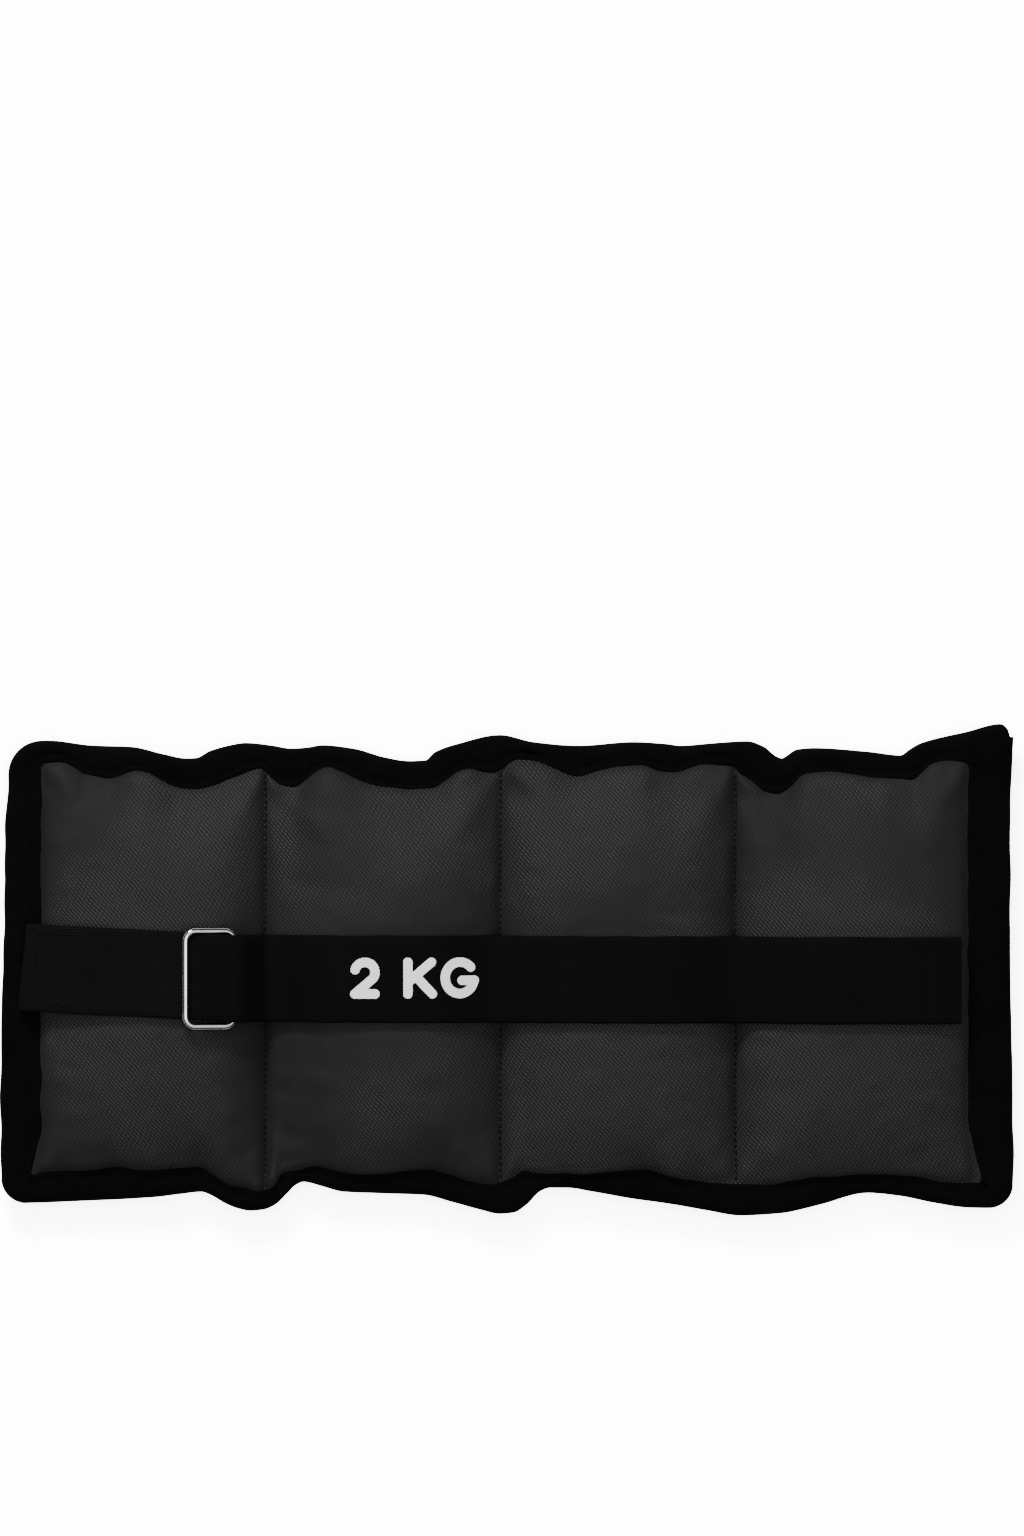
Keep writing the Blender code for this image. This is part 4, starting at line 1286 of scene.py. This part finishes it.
def mark_mesh():
    """Figure and unit, filled cell by cell on a fine grid and laid on the strap."""
    half = 0.5 * STROKE
    base_y = strap_y(-33.0) - 0.5 * CAP + half + 0.5
    places = [(-53.9, glyph_two(7.1, CAP - STROKE)), (-35.3, glyph_k(8.6, CAP - STROKE)),
              (-22.2, glyph_g(10.2, CAP - STROKE))]
    centre = []
    for x, strokes in places:
        for stroke in strokes:
            centre += [(x + a, base_y + b) for a, b in dense_points(stroke, 0.35)]
    centre = np.array(centre)
    cell = 0.22
    x0 = centre[:, 0].min() - half - cell
    y0 = centre[:, 1].min() - half - cell
    nx = int((centre[:, 0].max() + half + cell - x0) / cell) + 2
    ny = int((centre[:, 1].max() + half + cell - y0) / cell) + 2
    gx, gy = np.meshgrid(x0 + cell * np.arange(nx), y0 + cell * np.arange(ny), indexing="ij")
    dist = np.full(gx.shape, 1e9)
    for px, py in centre:
        dist = np.minimum(dist, np.hypot(gx - px, gy - py))
    over = dist - half
    verts = []
    faces = []
    index = {}

    def corner(i, j):
        """Grid corner, drawn in to the stroke's edge where it lies outside it."""
        if (i, j) not in index:
            index[(i, j)] = len(verts)
            px = gx[i, j]
            py = gy[i, j]
            if over[i, j] > 0.0:
                ax = over[min(i + 1, nx - 1), j] - over[max(i - 1, 0), j]
                ay = over[i, min(j + 1, ny - 1)] - over[i, max(j - 1, 0)]
                size = math.hypot(ax, ay) or 1.0
                px -= over[i, j] * ax / size
                py -= over[i, j] * ay / size
            verts.append((px, py))
        return index[(i, j)]

    for i in range(nx - 1):
        for j in range(ny - 1):
            if over[i:i + 2, j:j + 2].mean() < 0.0:
                faces.append((corner(i, j), corner(i + 1, j), corner(i + 1, j + 1), corner(i, j + 1)))
    laid = [(x, y, top_of(FREE_TREE, x, y, SEAM_Z)) for x, y in verts]
    top = [(x, y, z + 0.10) for x, y, z in laid]
    low = [(x, y, z - 0.08) for x, y, z in laid]
    count = len(verts)
    edges = {}
    for face in faces:
        for a, b in zip(face, face[1:] + face[:1]):
            if edges.pop((b, a), None) is None:
                edges[(a, b)] = True
    walls = [(a, a + count, b + count, b) for a, b in edges]
    lower = [tuple(count + v for v in reversed(face)) for face in faces]
    return top + low, faces + lower + walls


mark = make_object("weight_mark", *mark_mesh(), smooth=False)
dress(mark, PRINT, "webbing")
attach(mark, "pocket_b")


# ---------------------------------------------------------------- stage, light, camera
def floor_object():
    mesh = bpy.data.meshes.new("floor")
    reach = 6.0
    corners = [(reach * x, reach * y, 0.0) for x, y in ((-1, -1), (1, -1), (1, 1), (-1, 1))]
    mesh.from_pydata(corners, [], [(0, 1, 2, 3)])
    obj = bpy.data.objects.new("floor", mesh)
    bpy.context.collection.objects.link(obj)
    surface = Surface("floor_white", 0.9)
    surface.hold("Base Color", (0.92, 0.92, 0.92, 1.0))
    mesh.materials.append(surface.mat)
    return obj


def area_light(name, place, size, power):
    """Round lamp that faces the middle of the cuff."""
    data = bpy.data.lights.new(name, "AREA")
    data.shape = "DISK"
    data.size = size
    data.energy = power
    obj = bpy.data.objects.new(name, data)
    bpy.context.collection.objects.link(obj)
    obj.location = place
    obj.rotation_euler = (-Vector(place)).to_track_quat("-Z", "Y").to_euler()


FLOOR = floor_object()
FLOOR.is_shadow_catcher = True
area_light("key", (-0.35, 1.15, 0.85), 0.42, 20.0)
area_light("overhead", (0.15, -0.05, 1.6), 0.6, 7.5)
BACKDROP_WHITE = 15.0


def studio_world():
    """White backdrop to the eye, and a softer room with a dim horizon for light and reflections."""
    world = bpy.data.worlds.new("studio")
    bpy.context.scene.world = world
    world.use_nodes = True
    tree = world.node_tree
    nodes = tree.nodes
    links = tree.links
    room = nodes["Background"]
    split = nodes.new("ShaderNodeSeparateXYZ")
    links.new(nodes.new("ShaderNodeTexCoord").outputs["Generated"], split.inputs[0])
    sky = ramp_node(tree, math_node(tree, "ABSOLUTE", split.outputs[2]),
                    [(0.0, 0.01), (0.66, 0.03), (0.80, 1.45), (1.0, 1.95)])
    links.new(sky, room.inputs["Color"])
    room.inputs["Strength"].default_value = 1.0
    white = nodes.new("ShaderNodeBackground")
    white.inputs["Color"].default_value = (1.0, 1.0, 1.0, 1.0)
    white.inputs["Strength"].default_value = BACKDROP_WHITE
    mix = nodes.new("ShaderNodeMixShader")
    rays = nodes.new("ShaderNodeLightPath")
    for output, socket in zip((rays.outputs["Is Camera Ray"], room.outputs[0], white.outputs[0]), mix.inputs):
        links.new(output, socket)
    links.new(mix.outputs[0], nodes["World Output"].inputs["Surface"])


studio_world()

FRAME_HEIGHT = 542.2
CAMERA_HEIGHT = 2.6
CUFF_LEVEL = 0.011
SENSOR = 36.0
camera_data = bpy.data.cameras.new("camera")
camera = bpy.data.objects.new("camera", camera_data)
bpy.context.collection.objects.link(camera)
camera.location = (1.24 * MM, (73.07 + Y0) * MM, CAMERA_HEIGHT)
camera_data.lens = SENSOR * (CAMERA_HEIGHT - CUFF_LEVEL) / (FRAME_HEIGHT * MM)
camera_data.clip_start = 0.01
bpy.context.scene.camera = camera

bpy.context.view_layer.update()
